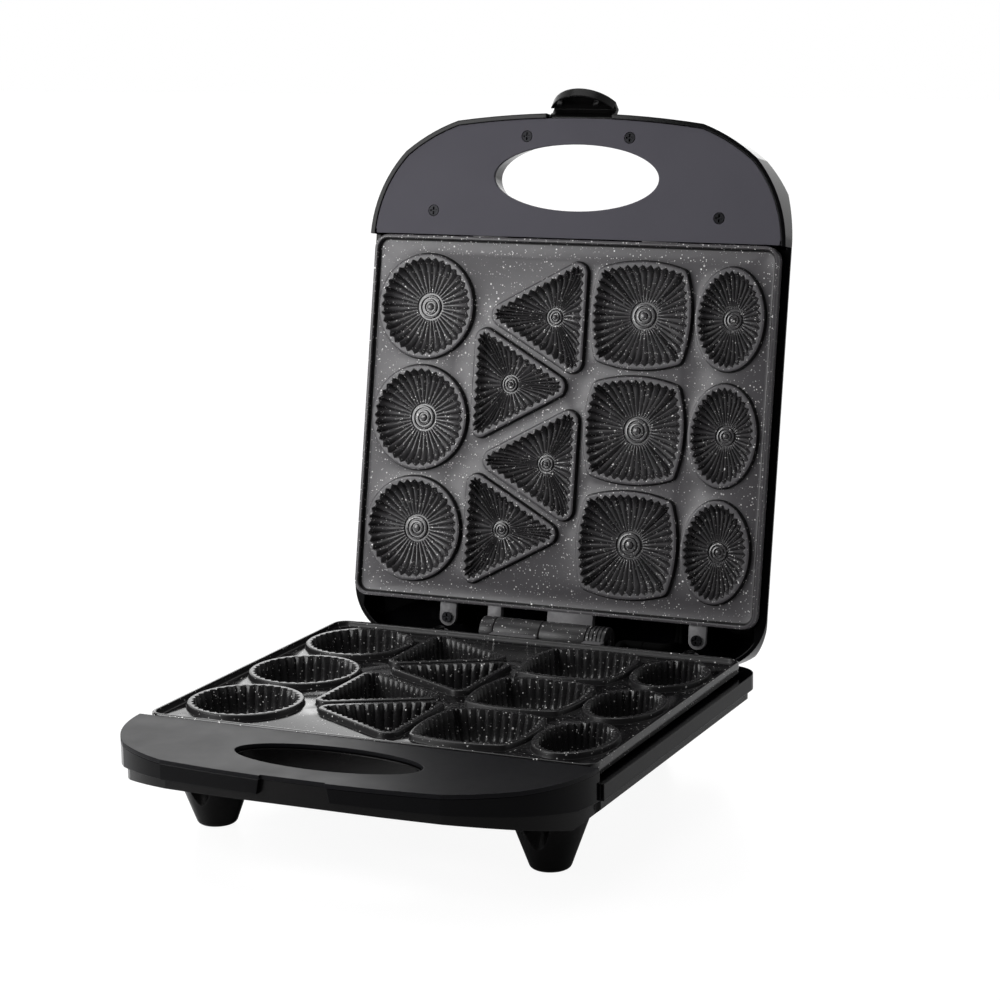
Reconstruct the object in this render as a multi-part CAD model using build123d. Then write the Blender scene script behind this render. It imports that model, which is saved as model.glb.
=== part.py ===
from build123d import *
import math
import os

# A plate cooker that opens like a book. Both halves are drawn in one closed frame: X to the right, Y to the
# rear, Z the depth away from the plane where the plates meet. The lower half is that drawing turned over.

# Plates
plate_width = 238.0
plate_depth = 202.5
plate_corner = 8.0
meeting_gap = 0.15
rim_wall = 2.2
tray_depth = 3.2
plate_sheet = 2.5
skirt_depth = 6.6
land_width = 2.7
lower_cup_depth = 18.0
upper_cup_depth = 8.0
cup_wall = 2.2
flute_depth = 1.3
wall_share = 0.72
waist_share = 0.84
middle_share = 0.30
cup_side_share = 0.93
cup_foot_share = 0.72
bullseye_radius = 4.2
bullseye_height = 1.2
pip_radius = 1.6

# Cups: sizes of their raised lands and where their centres lie
round_diameter = 58.7
round_column = -85.2
square_size = 58.8
square_bow = 3.4
square_corner = 5.5
square_column = 42.8
oval_width = 39.6
oval_length = 55.8
oval_column = 93.5
row_pitch = 61.8
triangle_length = 56.1
triangle_side = 60.6
triangle_corner = 6.5
triangle_tip_share = 0.635
triangle_left_column = -9.3
triangle_right_column = -33.6
triangle_inner_row = 21.2
triangle_outer_row = 59.1
round_flutes = 36
triangle_flutes = 40
square_flutes = 44
oval_flutes = 36

# Hinge
hinge_behind = 13.25
hinge_drop = 2.2
open_angle = 100.8
knuckle_radius = 8.2
hinge_pin_radius = 2.5
running_clearance = 0.05
ring_start = -35.7
ring_width = 8.0
long_knuckle = 26.8
knob_width = 11.2
knuckle_gap = 0.4
lug_thickness = 4.0
groove_width = 1.6
groove_depth = 0.7

# Handle outline, measured forward from the plate's front edge
handle_half = 122.0
handle_reach = 68.5
nose_half = 72.0
nose_reach = 63.6
bend_half = 88.2
bend_reach = 56.3
shoulder_half = 103.0
shoulder_reach = 46.2
side_half = 116.6
side_reach = 25.0
cover_thickness = 2.0
base_cover_drop = 0.7
lid_cover_drop = 0.8
cover_inset = 2.8
cover_gap = 0.6
hand_hole_half = 48.5
hand_hole_rise = 18.2
hand_hole_reach = 33.5
well_wall = 2.0
well_step = 1.3
well_flare = 7.0

# Casings
base_parting = 58.0
base_half = 124.0
base_behind = 15.0
base_corner = 16.0
lid_half = 122.5
lid_behind = 22.5
lid_corner = 30.0
casing_wall = 2.5
ledge_depth = 8.5
ledge_half = 116.0
ledge_thickness = 2.0
frame_depth = 16.5
frame_front_depth = 9.5
frame_slope_start = 18.0
pan_depth = 41.0
pan_side_depth = 19.5
pan_floor_half = 97.0
pan_front_depth = 13.6
pan_slope_run = 112.0
pan_rear_depth = 33.0
pan_rear_run = 8.0
pan_edge = 6.0
rim_stop = 8.0
lid_depth = 34.0
lid_rim_drop = 0.3
lid_side_depth = 11.0
lid_shoulder_half = 112.0
lid_shoulder_depth = 25.0
lid_top_half = 90.0
lid_front_depth = 12.0
lid_slope_run = 92.0
lid_rear_depth = 20.0
lid_rear_run = 20.0
lid_edge = 7.0
seat_gap = 0.3
overrun = 2.0

# Feet
foot_radius = 9.5
foot_top_depth = 24.0
foot_slope_share = 0.37
foot_edge = 3.0
front_foot_half = 90.0
front_foot_behind = 16.0
rear_foot_half = 67.0
rear_foot_ahead = 5.0
pad_radius = 5.5
pad_thickness = 2.0
pad_proud = 0.5
scoop_radius = 7.9
scoop_tip_radius = 4.1
scoop_length = 14.5
scoop_ahead = 18.2

# Ribs that stop the open lid
stop_half = 60.0
stop_width = 4.0
stop_low = 32.0
stop_high = 13.6
stop_fall = 1.5
stop_reach = 21.75
stop_run = 8.0

# Latch and its notch
notch_half = 16.8
notch_spread = 1.8
notch_trim = 1.5
latch_half = 18.4
latch_side_gap = 0.8
latch_length = 15.5
latch_shoulder = 5.0
latch_thickness = 2.2
latch_bulge = 3.0
latch_barrel = 2.6
latch_pin_radius = 1.25
latch_pin_reach = 66.5
latch_pin_depth = 6.5
latch_ear = 4.0
latch_recess_depth = 14.5
latch_recess_back = 5.0
hook_place = 10.5
hook_width = 3.0
hook_thickness = 2.0
hook_reach = 2.8
hook_play = 0.4
latch_swing = 35.0
latch_lip = 1.4

# Screws
screw_radius = 1.5
screw_head_radius = 2.9
screw_head_height = 1.6
screw_play = 0.05
boss_radius = 4.5
cross_width = 0.9
cross_depth = 0.8
tab_radius = 5.0
tab_depth = 3.0
tab_thickness = 2.5
tab_behind = 8.2
left_tab = -61.0
right_tab = 86.0
tab_screw_length = 12.0
cover_screw_length = 11.0
top_screw_half = 30.2
top_screw_reach = 55.6
side_screw_half = 84.0
side_screw_reach = 13.8
tongue_half = 50.0
tongue_width = 20.0
tongue_length = 5.0
cross_wall_half = 120.5
cross_wall_behind = 3.5
cross_wall_depth = 10.2
plate_post_radius = 4.0
plate_post_half = 110.0
plate_post_side = 92.0

# Heaters and trays
element_radius = 3.25
element_bend = 22.0
element_first = -85.0
element_second = -21.0
element_third = 43.0
element_fourth = 93.0
element_turn = 72.0
element_end = 88.0
bead_radius = 2.6
bead_length = 4.0
terminal_radius = 1.2
terminal_length = 8.0
tray_half = 103.0
tray_side = 86.0
tray_wall = 0.8
tray_rise = 6.0
tray_corner = 10.0
stud_radius = 3.0
stud_left = -61.0
stud_right = 73.0
stud_row = 31.0
stud_screw_radius = 1.2
stud_screw_length = 7.0
stud_head_radius = 2.4
stud_head_height = 1.4

# Supply parts in the base
block_width = 30.0
block_depth = 13.0
block_height = 12.0
block_x = 12.0
block_y = 98.0
block_foot = 6.0
block_foot_height = 3.0
block_screw_length = 5.0
block_groove = 3.0
bush_x = -38.0
bush_depth = 26.0
bush_flange = 7.0
bush_neck = 5.0
bush_bore = 3.6
bush_flange_thickness = 2.5
bush_inside = 5.0
clamp_y = 98.0
clamp_length = 24.0
clamp_width = 8.0
clamp_thickness = 3.0
clamp_rise = 7.0
clamp_screw_spacing = 16.0
clamp_post_radius = 3.4
clamp_screw_length = 8.0
lead_radius = 1.3
lead_bend = 2.0
lead_depth = 31.0
lead_row = 88.7
lead_side = 9.0
lid_lead_depth = 26.0
lid_lead_far = 60.0
sleeve_radius = 2.2
sleeve_bend = 3.0
sleeve_split = 58.0
sleeve_gap = 0.4
sleeve_turn = 12.0
sleeve_forward = 7.0
sleeve_drop = 20.0
sleeve_rise = 16.0
sleeve_run = 3.5

# Parts inside the lid
thermostat_radius = 8.0
thermostat_height = 7.0
thermostat_flange_radius = 10.0
thermostat_flange = 1.2
thermostat_x = 8.0
thermostat_y = 0.0
spade_width = 4.8
spade_height = 4.0
spade_thickness = 0.8
spade_spacing = 8.0
fuse_radius = 2.0
fuse_length = 12.0
fuse_y = 30.0
fuse_tail = 6.0
fuse_tail_radius = 0.5
clip_width = 5.0
clip_wall = 0.8
board_width = 46.0
board_side = 16.0
board_thickness = 1.6
board_depth = 23.0
board_behind = 48.0
board_screw_half = 19.0
board_post_radius = 3.0
board_screw_radius = 1.1
board_screw_length = 5.0
board_head_radius = 2.1
board_head_height = 1.2
lamp_half = 9.0
lamp_radius = 2.2
lamp_length = 5.0
lens_radius = 3.2
lens_flange = 4.2
lens_proud = 0.8
lens_flange_thickness = 1.0

# Places worked out from those sizes
plate_front = -plate_depth / 2
plate_rear = plate_depth / 2
hinge_y = plate_rear + hinge_behind
hand_hole_y = plate_front - hand_hole_reach
base_rear = plate_rear + base_behind
lid_rear = plate_rear + lid_behind
tab_y = plate_rear + tab_behind
floor_depth = tray_depth + plate_sheet
latch_y = plate_front - latch_pin_reach
cross_wall_y = plate_front - cross_wall_behind
stop_bend = plate_rear + stop_reach
stop_end = stop_bend + stop_run
ring_end = ring_start + ring_width
base_knuckle = ring_end + knuckle_gap
base_knuckle_end = base_knuckle + long_knuckle
lid_knuckle = base_knuckle_end + knuckle_gap
lid_knuckle_end = lid_knuckle + long_knuckle
knob_start = lid_knuckle_end + knuckle_gap
knob_end = knob_start + knob_width
sides = (-1, 1)


def slab(outline, near, far):
    """A prism of an outline between two depths."""
    return extrude(Pos(0, 0, near) * outline, amount=far - near)


def block(x, y, z, width, depth, height):
    """A box on the centre of its lower face."""
    return Pos(x, y, z) * Box(width, depth, height, align=(Align.CENTER, Align.CENTER, Align.MIN))


def rod(x, y, near, far, radius):
    """A round bar along the depth."""
    return Pos(x, y, near) * Cylinder(radius, far - near, align=(Align.CENTER, Align.CENTER, Align.MIN))


def cross_rod(start, end, y, z, radius):
    """A round bar along X."""
    bar = Cylinder(radius, end - start, align=(Align.CENTER, Align.CENTER, Align.MIN))
    return Pos(start, y, z) * Rot(0, 90, 0) * bar


def taper(*sections):
    """A straight-sided body through outlines with matching points, each with its depth."""
    return loft([Pos(0, 0, depth) * outline for outline, depth in sections], ruled=True)


def side_prism(points, edge, half):
    """A prism along X of a side outline in Y and depth, with its far corners rounded."""
    outline = make_face(Polyline([(y, z) for y, z in points], close=True))
    far = outline.vertices().filter_by(lambda v: v.Y > ledge_depth)
    outline = fillet(far, edge)
    return extrude(Plane.YZ * outline, amount=half, both=True)


def end_prism(points, edge, half):
    """A prism along Y of an end outline in X and depth, with its far corners rounded."""
    outline = make_face(Polyline([(x, z) for x, z in points], close=True))
    far = outline.vertices().filter_by(lambda v: v.Y > ledge_depth)
    outline = fillet(far, edge)
    return extrude(Plane.XZ * outline, amount=half, both=True)


# Outlines


def handle_plan():
    """The handle, from its bowed front edge back to the plate."""
    front = plate_front - handle_reach
    nose = plate_front - nose_reach
    bend = plate_front - bend_reach
    shoulder = plate_front - shoulder_reach
    side = plate_front - side_reach
    edges = [ThreePointArc((-nose_half, nose), (0, front), (nose_half, nose))]
    for s in sides:
        corner = (s * shoulder_half, shoulder)
        edges.append(ThreePointArc((s * nose_half, nose), (s * bend_half, bend), corner))
        edges.append(ThreePointArc(corner, (s * side_half, side), (s * handle_half, plate_front)))
    edges.append(Line((-handle_half, plate_front), (handle_half, plate_front)))
    return make_face(Curve() + edges)


def body_plan(half, rear, corner):
    """The casing round the plate, with its rear corners rounded."""
    length = rear - plate_front
    box = Pos(0, plate_front + length / 2) * Rectangle(2 * half, length)
    return fillet(box.vertices().group_by(Axis.Y)[-1], corner)


def hand_hole(extra):
    """The oval hole for the fingers."""
    return Pos(0, hand_hole_y) * Ellipse(hand_hole_half + extra, hand_hole_rise + extra)


def round_land(inset):
    return Circle(round_diameter / 2 - inset)


def oval_land(inset):
    return Ellipse(oval_width / 2 - inset, oval_length / 2 - inset)


def square_land(inset):
    """A square with bowed sides."""
    half = square_size / 2 - inset
    corner = half - square_bow
    around = [(-corner, -corner), (corner, -corner), (corner, corner), (-corner, corner)]
    bows = [(0, -half), (half, 0), (0, half), (-half, 0)]
    edges = [ThreePointArc(around[i], bows[i], around[(i + 1) % len(around)]) for i in range(len(around))]
    outline = make_face(Curve() + edges)
    return fillet(outline.vertices(), square_corner - inset / 2)


def triangle_land(inset):
    """A triangle with rounded corners that points along +X, with the boss of its cup at the origin."""
    tip = triangle_tip_share * triangle_length - triangle_corner
    back = triangle_corner - (1 - triangle_tip_share) * triangle_length
    side = triangle_side - 2 * triangle_corner
    core = make_face(Polyline([(tip, 0), (back, side / 2), (back, -side / 2)], close=True))
    return offset(core, amount=triangle_corner - inset)


def fluted(land, flutes, share):
    """A land's outline drawn in by the land's width, with one groove a flute, scaled by a share."""
    edge = land(land_width).wire()
    points = []
    for i in range(2 * flutes):
        p = edge @ (i / (2 * flutes))
        reach = math.hypot(p.X, p.Y)
        drawn = 1 - (i % 2) * flute_depth / reach
        points.append((p.X * drawn * share, p.Y * drawn * share))
    return make_face(Polyline(points, close=True))


def cups():
    """Each cup: its land, its flutes, its place and its turn."""
    places = []
    for row in (-triangle_outer_row, triangle_inner_row):
        places.append((triangle_land, triangle_flutes, triangle_left_column, row, 180))
    for row in (-triangle_inner_row, triangle_outer_row):
        places.append((triangle_land, triangle_flutes, triangle_right_column, row, 0))
    for row in (-row_pitch, 0, row_pitch):
        places.append((round_land, round_flutes, round_column, row, 0))
        places.append((square_land, square_flutes, square_column, row, 0))
        places.append((oval_land, oval_flutes, oval_column, row, 0))
    return places


# Plates


def cup_bodies(land, flutes, depth):
    """The metal round one cup, and the space in it."""
    wall_depth = wall_share * depth
    side = scale(land(0), by=(cup_side_share, cup_side_share, 1))
    foot = scale(land(0), by=(cup_foot_share, cup_foot_share, 1))
    metal = slab(land(0), meeting_gap, floor_depth)
    metal += taper((land(0), tray_depth), (side, wall_depth + cup_wall), (foot, depth + cup_wall))
    waist = fluted(land, flutes, waist_share)
    middle = fluted(land, flutes, middle_share)
    well = taper((fluted(land, flutes, 1), meeting_gap), (waist, wall_depth), (middle, depth))
    well -= rod(0, 0, depth - bullseye_height, depth + overrun, bullseye_radius)
    well -= rod(0, 0, depth - 2 * bullseye_height, depth + overrun, pip_radius)
    return metal, well


def plate(depth, axis_depth, knuckles, lugs, tray):
    """One cast plate: tray, cups, skirt, tabs, front tongues and hinge knuckles."""
    outline = RectangleRounded(plate_width, plate_depth, plate_corner)
    inner = RectangleRounded(plate_width - 2 * rim_wall, plate_depth - 2 * rim_wall, plate_corner - rim_wall)
    body = slab(outline, meeting_gap, skirt_depth)
    body -= slab(inner, 0, tray_depth)
    body -= slab(inner, floor_depth, skirt_depth + overrun)
    kinds = {land: flutes for land, flutes, x, y, turn in cups()}
    made = {land: cup_bodies(land, flutes, depth) for land, flutes in kinds.items()}
    body += [Pos(x, y, 0) * Rot(0, 0, turn) * made[land][0] for land, flutes, x, y, turn in cups()]
    for x in (stud_left, stud_right):
        for s in sides:
            y = s * stud_row
            body += rod(x, y, floor_depth - plate_sheet / 2, tray, stud_radius)
            body -= rod(x, y, tray - stud_screw_length, tray + overrun, stud_screw_radius + screw_play)
    for x in (left_tab, right_tab):
        tab = rod(x, tab_y, tab_depth, tab_depth + tab_thickness, tab_radius)
        reach = tab_behind + rim_wall / 2
        tab += block(x, tab_y - reach / 2, tab_depth, 2 * tab_radius, reach, tab_thickness)
        body += tab
        body -= rod(x, tab_y, 0, skirt_depth, screw_radius + screw_play)
    for s in sides:
        length = tongue_length + rim_wall / 2
        y = plate_front + rim_wall / 2 - length / 2
        body += block(s * tongue_half, y, tab_depth, tongue_width, length, tab_thickness)
    for start, end in knuckles:
        body += cross_rod(start, end, hinge_y, axis_depth, knuckle_radius)
    for start, end in lugs:
        reach = hinge_behind + rim_wall / 2
        middle = hinge_y - reach / 2
        body += block((start + end) / 2, middle, 2 * meeting_gap, end - start, reach, lug_thickness)
    body -= cross_rod(ring_start - overrun, knob_end + overrun, hinge_y, axis_depth,
                      hinge_pin_radius + running_clearance)
    return body - [Pos(x, y, 0) * Rot(0, 0, turn) * made[land][1] for land, flutes, x, y, turn in cups()]


def element(depth):
    """A tubular heater that runs back and forth under the four columns of cups."""
    columns = (element_first, element_second, element_third, element_fourth)
    points = [(columns[0], element_end)]
    for i in range(len(columns) - 1):
        turn = element_turn if i % 2 else -element_turn
        points.append((columns[i], turn))
        points.append((columns[i + 1], turn))
    points.append((columns[-1], element_end))
    path = FilletPolyline(*[(x, y, depth) for x, y in points], radius=element_bend)
    start = Plane(origin=path @ 0, z_dir=path % 0)
    return sweep(start * Circle(element_radius), path=path)


def terminals(depth):
    """The insulators and pins in the heater's two ends."""
    parts = []
    for x in (element_first, element_fourth):
        bead = Cylinder(bead_radius, bead_length, align=(Align.CENTER, Align.CENTER, Align.MIN))
        pin_start = bead_length
        pin = Cylinder(terminal_radius, terminal_length, align=(Align.CENTER, Align.CENTER, Align.MIN))
        parts.append(Pos(x, element_end, depth) * Rot(-90, 0, 0) * (bead + Pos(0, 0, pin_start) * pin))
    return parts


def reflector(tray):
    """A thin tray screwed to the plate's studs."""
    near = tray - tray_rise
    body = slab(RectangleRounded(2 * tray_half, 2 * tray_side, tray_corner), near, tray + tray_wall)
    width = 2 * (tray_half - tray_wall)
    body -= slab(RectangleRounded(width, 2 * (tray_side - tray_wall), tray_corner - tray_wall), near, tray)
    for x in (stud_left, stud_right):
        for s in sides:
            body -= rod(x, s * stud_row, tray - overrun, tray + overrun, stud_screw_radius + screw_play)
    width = 2 * (element_radius + seat_gap)
    for x in (element_first, element_fourth):
        body -= block(x, tray_side, tray - tray_rise, width, 4 * tray_wall, tray_rise)
    return body


def reflector_screws(tray):
    parts = []
    seat = tray + tray_wall
    for x in (stud_left, stud_right):
        for s in sides:
            y = s * stud_row
            head = rod(x, y, seat, seat + stud_head_height, stud_head_radius)
            parts.append(head + rod(x, y, tray - stud_screw_length + overrun, seat, stud_screw_radius))
    return parts


def cross_head(x, y, near, far, radius):
    """A screw head that faces the parting plane, with a cross recess."""
    head = rod(x, y, near, far, radius)
    for width, depth in ((cross_width, 2 * radius), (2 * radius, cross_width)):
        slot = block(x, y, near, min(width, 1.4 * radius), min(depth, 1.4 * radius), cross_depth)
        head -= slot
    return head


def tab_screws():
    """The two screws through a plate's rear tabs."""
    parts = []
    for x in (left_tab, right_tab):
        head = cross_head(x, tab_y, tab_depth - screw_head_height, tab_depth, screw_head_radius)
        parts.append(head + rod(x, tab_y, tab_depth, tab_screw_length, screw_radius))
    return parts


def carry(body, inside, top_boss, depth):
    """Adds the bosses under the rear tabs and the corner posts under the plate."""
    for x in (left_tab, right_tab):
        boss = rod(x, tab_y, tab_depth + tab_thickness, depth, tab_radius)
        body += boss & top_boss
        body -= rod(x, tab_y, tab_depth, tab_screw_length + overrun, screw_radius + screw_play)
    for sx in sides:
        for sy in sides:
            post = rod(sx * plate_post_half, sy * plate_post_side, floor_depth, depth, plate_post_radius)
            body += post & top_boss
    return body


# Casings


def pan_line(y):
    """Depth of the pan's sloping underside at a place along Y."""
    rise = (pan_depth - pan_front_depth) / pan_slope_run
    return pan_front_depth + rise * (y - plate_front + handle_reach)


def pan_hull(shrink):
    """The pan's outside, or its inside when shrunk by the wall."""
    front = plate_front - handle_reach
    start = front + shrink
    rear = base_rear - shrink
    floor = pan_depth - shrink
    side = [(start, 0), (start, pan_front_depth - shrink), (front + pan_slope_run, floor),
            (rear - pan_rear_run, floor), (rear, pan_rear_depth - shrink), (rear, 0)]
    half = base_half - shrink
    low = pan_side_depth - shrink / 2
    floor_half = pan_floor_half - shrink / 2
    end = [(-half, 0), (-half, low), (-floor_half, floor), (floor_half, floor), (half, low), (half, 0)]
    return side_prism(side, pan_edge, base_half) & end_prism(end, pan_edge, base_rear + handle_reach)


def frame_outline():
    return handle_plan() + body_plan(base_half, base_rear, base_corner)


def base_frame():
    """Upper casing ring: side walls, ledge round the plate and handle wall with the latch notch."""
    top = base_cover_drop + cover_thickness
    handle = handle_plan()
    body = body_plan(base_half, base_rear, base_corner)
    whole = slab(handle, top, frame_depth) + slab(body, ledge_depth, frame_depth)
    low = slab(offset(frame_outline(), amount=-casing_wall), 0, frame_depth + overrun)
    whole -= low
    opening = Pos(0, (plate_front + base_rear - casing_wall) / 2) * Rectangle(
        2 * ledge_half, base_rear - casing_wall - plate_front)
    ledge = slab(offset(body, amount=-casing_wall / 2), ledge_depth, ledge_depth + ledge_thickness)
    whole += ledge - slab(opening, 0, frame_depth)
    near = tab_depth + tab_thickness
    whole += block(0, cross_wall_y, near, 2 * cross_wall_half, casing_wall, cross_wall_depth - near)
    front = plate_front - handle_reach - overrun
    start = plate_front - frame_slope_start
    low = frame_depth + overrun
    corners = [(front, frame_front_depth), (start, frame_depth), (start, low), (front, low)]
    slope = make_face(Polyline(corners, close=True))
    whole -= extrude(Plane.YZ * slope, amount=base_half, both=True)
    far = frame_front_depth + overrun
    spread = notch_half + notch_spread * far / frame_front_depth
    corners = [(-notch_half, 0), (notch_half, 0), (spread, far), (-spread, far)]
    notch = make_face(Polyline(corners, close=True))
    notch = extrude(Plane.XZ * notch, amount=-(casing_wall + 2 * overrun))
    whole -= Pos(0, plate_front - handle_reach - overrun, 0) * notch
    recess_left = ring_start - overrun
    recess_right = sleeve_split + sleeve_turn + overrun
    whole -= block((recess_left + recess_right) / 2, base_rear, ledge_depth - overrun,
                   recess_right - recess_left, 4 * casing_wall, overrun + ledge_thickness)
    return whole


def foot_places():
    """The centres of the four feet."""
    front = plate_front + front_foot_behind
    rear = plate_rear - rear_foot_ahead
    return [(s * front_foot_half, front) for s in sides] + [(s * rear_foot_half, rear) for s in sides]


def foot(x, y):
    """A tapered foot with a rounded lower edge."""
    height = base_parting - pad_proud - foot_top_depth
    top = foot_radius + foot_slope_share * height
    cone = taper((Circle(top), foot_top_depth), (Circle(foot_radius), foot_top_depth + height))
    cone = fillet(cone.edges().group_by(Axis.Z)[-1], foot_edge)
    return Pos(x, y, 0) * cone


def lid_stop():
    """A rib behind the base under the lid's open edge."""
    back = base_rear - casing_wall - seat_gap - overrun
    wall = base_rear + seat_gap
    step = frame_depth + seat_gap
    tip = stop_high + stop_fall
    points = [(back, stop_low), (back, step), (wall, step), (wall, stop_high), (stop_bend, stop_high),
              (stop_end, tip), (stop_end, tip + stop_fall), (wall + stop_fall, stop_low)]
    face = make_face(Polyline(points, close=True))
    return extrude(Plane.YZ * face, amount=stop_width / 2, both=True)


def base_pan():
    """Lower casing: sloped tray, feet, posts and bosses."""
    outline = offset(frame_outline(), amount=-casing_wall - seat_gap)
    inner = offset(frame_outline(), amount=-2 * casing_wall - seat_gap)
    handle_top = base_cover_drop + cover_thickness + seat_gap
    top = ledge_depth + ledge_thickness
    hull = pan_hull(0)
    inside = slab(inner, 0, base_parting) & pan_hull(casing_wall)
    outside = slab(outline, top, base_parting) & hull
    part = Pos(0, plate_front - handle_reach) * Rectangle(2 * handle_half, 2 * (handle_reach - rim_stop))
    outside += slab(offset(handle_plan(), amount=-casing_wall - seat_gap) & part, handle_top, top + overrun)
    for x, y in foot_places():
        outside += foot(x, y)
    body = outside - inside
    within = slab(outline, 0, base_parting) & hull
    body = carry(body, inside, within, pan_depth)
    well = slab(hand_hole(well_wall - well_step), handle_top, pan_depth)
    body += well & within
    body -= slab(hand_hole(-well_step), 0, base_parting)
    for x, y in cover_screw_places():
        deep = pan_line(y)
        body += rod(x, y, ledge_depth + seat_gap, deep, boss_radius) & within
        body -= rod(x, y, ledge_depth - overrun, base_parting, screw_radius + screw_play)
        body -= rod(x, y, deep - 2 * screw_head_height, base_parting, screw_head_radius + seat_gap)
    for x, y in foot_places()[:2]:
        start = pan_line(y - scoop_ahead) + 2 * seat_gap
        scoop = taper((Circle(scoop_radius), start), (Circle(scoop_tip_radius), start + scoop_length))
        body -= Pos(x, y - scoop_ahead, 0) * scoop
    for s in sides:
        body += Pos(s * stop_half, 0, 0) * lid_stop()
    for x, y in foot_places():
        body -= rod(x, y, base_parting - pad_thickness, base_parting, pad_radius + seat_gap)
    body += block(block_x, block_y, pan_depth - casing_wall - block_foot_height, block_width, block_depth,
                  block_foot_height + casing_wall / 2)
    hole = screw_radius + screw_play
    low = pan_depth - casing_wall / 2
    for s in sides:
        x = block_x + s * (block_width / 2 - block_foot / 2)
        body -= rod(x, block_y, pan_depth - casing_wall - 2 * block_foot_height, low, hole)
        x = bush_x + s * clamp_screw_spacing / 2
        body += rod(x, clamp_y, bush_depth + clamp_thickness / 2, low, clamp_post_radius)
        body -= rod(x, clamp_y, bush_depth, bush_depth + clamp_screw_length + overrun, hole)
    bush_hole = Cylinder(bush_neck + seat_gap, 4 * casing_wall)
    body -= Pos(bush_x, base_rear - casing_wall, bush_depth) * Rot(90, 0, 0) * bush_hole
    return body


def foot_pads():
    """Rubber pads in the feet."""
    near = base_parting - pad_thickness + seat_gap
    return [rod(x, y, near, base_parting, pad_radius) for x, y in foot_places()]


def cover_screw_places():
    """The four screws that hold a handle cover."""
    places = []
    for s in sides:
        places.append((s * top_screw_half, plate_front - top_screw_reach))
        places.append((s * side_screw_half, plate_front - side_screw_reach))
    return places


def base_handle_cover():
    """Grey panel on the lower handle, with bosses for screws from below."""
    outline = handle_plan() - Pos(0, plate_front) * Rectangle(2 * base_half, 2 * cover_gap)
    top = base_cover_drop
    body = slab(outline, top, top + cover_thickness)
    for x, y in cover_screw_places():
        body += rod(x, y, top + cover_thickness / 2, ledge_depth, boss_radius - seat_gap)
        body -= rod(x, y, top + cover_thickness, ledge_depth + overrun, screw_radius + screw_play)
    body -= slab(hand_hole(0), 0, ledge_depth)
    trim = block(0, plate_front - handle_reach, 0, 2 * notch_half, 2 * notch_trim, ledge_depth)
    return body - trim


def base_cover_screws():
    """Screws from below into the grey panel's bosses."""
    parts = []
    for x, y in cover_screw_places():
        seat = pan_line(y) - 2 * screw_head_height
        head = rod(x, y, seat, seat + screw_head_height, screw_head_radius)
        parts.append(head + rod(x, y, base_cover_drop + cover_thickness + seat_gap, seat, screw_radius))
    return parts


def lid_hull(shrink):
    """The lid shell's outside, or its inside when shrunk by the wall."""
    front = plate_front - handle_reach
    start = front + shrink
    rear = lid_rear - shrink
    top = lid_depth - shrink
    side = [(start, 0), (start, lid_front_depth - shrink / 2), (front + lid_slope_run, top),
            (rear - lid_rear_run + shrink / 2, top), (rear, lid_rear_depth - shrink / 2), (rear, 0)]
    half = lid_half - shrink
    low = lid_side_depth - shrink / 4
    bend = lid_shoulder_half - shrink * 3 / 4
    end = [(-half, 0), (-half, low), (-bend, lid_shoulder_depth), (-lid_top_half, top),
           (lid_top_half, top), (bend, lid_shoulder_depth), (half, low), (half, 0)]
    return side_prism(side, lid_edge, base_half) & end_prism(end, lid_edge, lid_rear + handle_reach)


def lid_housing():
    """Outer shell of the lid, with the handle rim, the ledge and the latch recess."""
    handle = handle_plan()
    body = body_plan(lid_half, lid_rear, lid_corner)
    plan = handle + body
    hull = lid_hull(0)
    outside = (slab(handle, lid_rim_drop, lid_depth) + slab(body, ledge_depth, lid_depth)) & hull
    inside = slab(offset(plan, amount=-casing_wall), 0, lid_depth) & lid_hull(casing_wall)
    mouth_rear = lid_rear - casing_wall
    mouth = Pos(0, (plate_front + mouth_rear) / 2) * Rectangle(2 * ledge_half, mouth_rear - plate_front)
    ledge = slab(offset(body, amount=-casing_wall / 2), ledge_depth, ledge_depth + ledge_thickness)
    shell = outside - inside + (ledge - slab(mouth, 0, lid_depth))
    within = slab(plan, 0, lid_depth) & hull
    cover_back = lid_cover_drop + cover_thickness
    wall = block(0, cross_wall_y, tab_depth + tab_thickness, 2 * cross_wall_half, casing_wall, lid_depth)
    shell += wall & within
    outer = hand_hole(well_wall + well_flare)
    shell += taper((hand_hole(well_wall), cover_back), (outer, lid_depth)) & within
    shell -= taper((hand_hole(0), cover_back), (hand_hole(well_flare), lid_depth))
    shell = carry(shell, inside, within, lid_depth)
    for x, y in cover_screw_places():
        shell += rod(x, y, cover_back, lid_depth, boss_radius) & within
        shell -= rod(x, y, 0, cover_screw_length + overrun, screw_radius + screw_play)
    recess = latch_half + latch_side_gap
    ear_y = latch_y + (latch_recess_back - casing_wall) / 2
    for s in sides:
        ear = block(s * (recess + latch_ear / 2), ear_y, cover_back + seat_gap, latch_ear,
                    latch_recess_back + casing_wall, latch_recess_depth - cover_back)
        shell += ear & within
    front = plate_front - handle_reach - overrun
    depth = latch_y + latch_recess_back - front
    shell -= block(0, front + depth / 2, 0, 2 * recess, depth, latch_recess_depth)
    shell -= cross_rod(-recess - latch_ear + overrun / 2, recess + latch_ear - overrun / 2, latch_y,
                       latch_pin_depth, latch_pin_radius + running_clearance)
    y = plate_front + board_behind
    near = board_depth + board_thickness
    far = board_depth + board_screw_length + overrun / 2
    for s in sides:
        x = s * board_screw_half
        shell += rod(x, y, near, lid_depth - casing_wall / 2, board_post_radius)
        shell -= rod(x, y, board_depth, far, board_screw_radius + screw_play)
        shell -= rod(s * lamp_half, y, near, lid_depth + overrun, lens_radius + seat_gap)
    return shell


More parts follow.
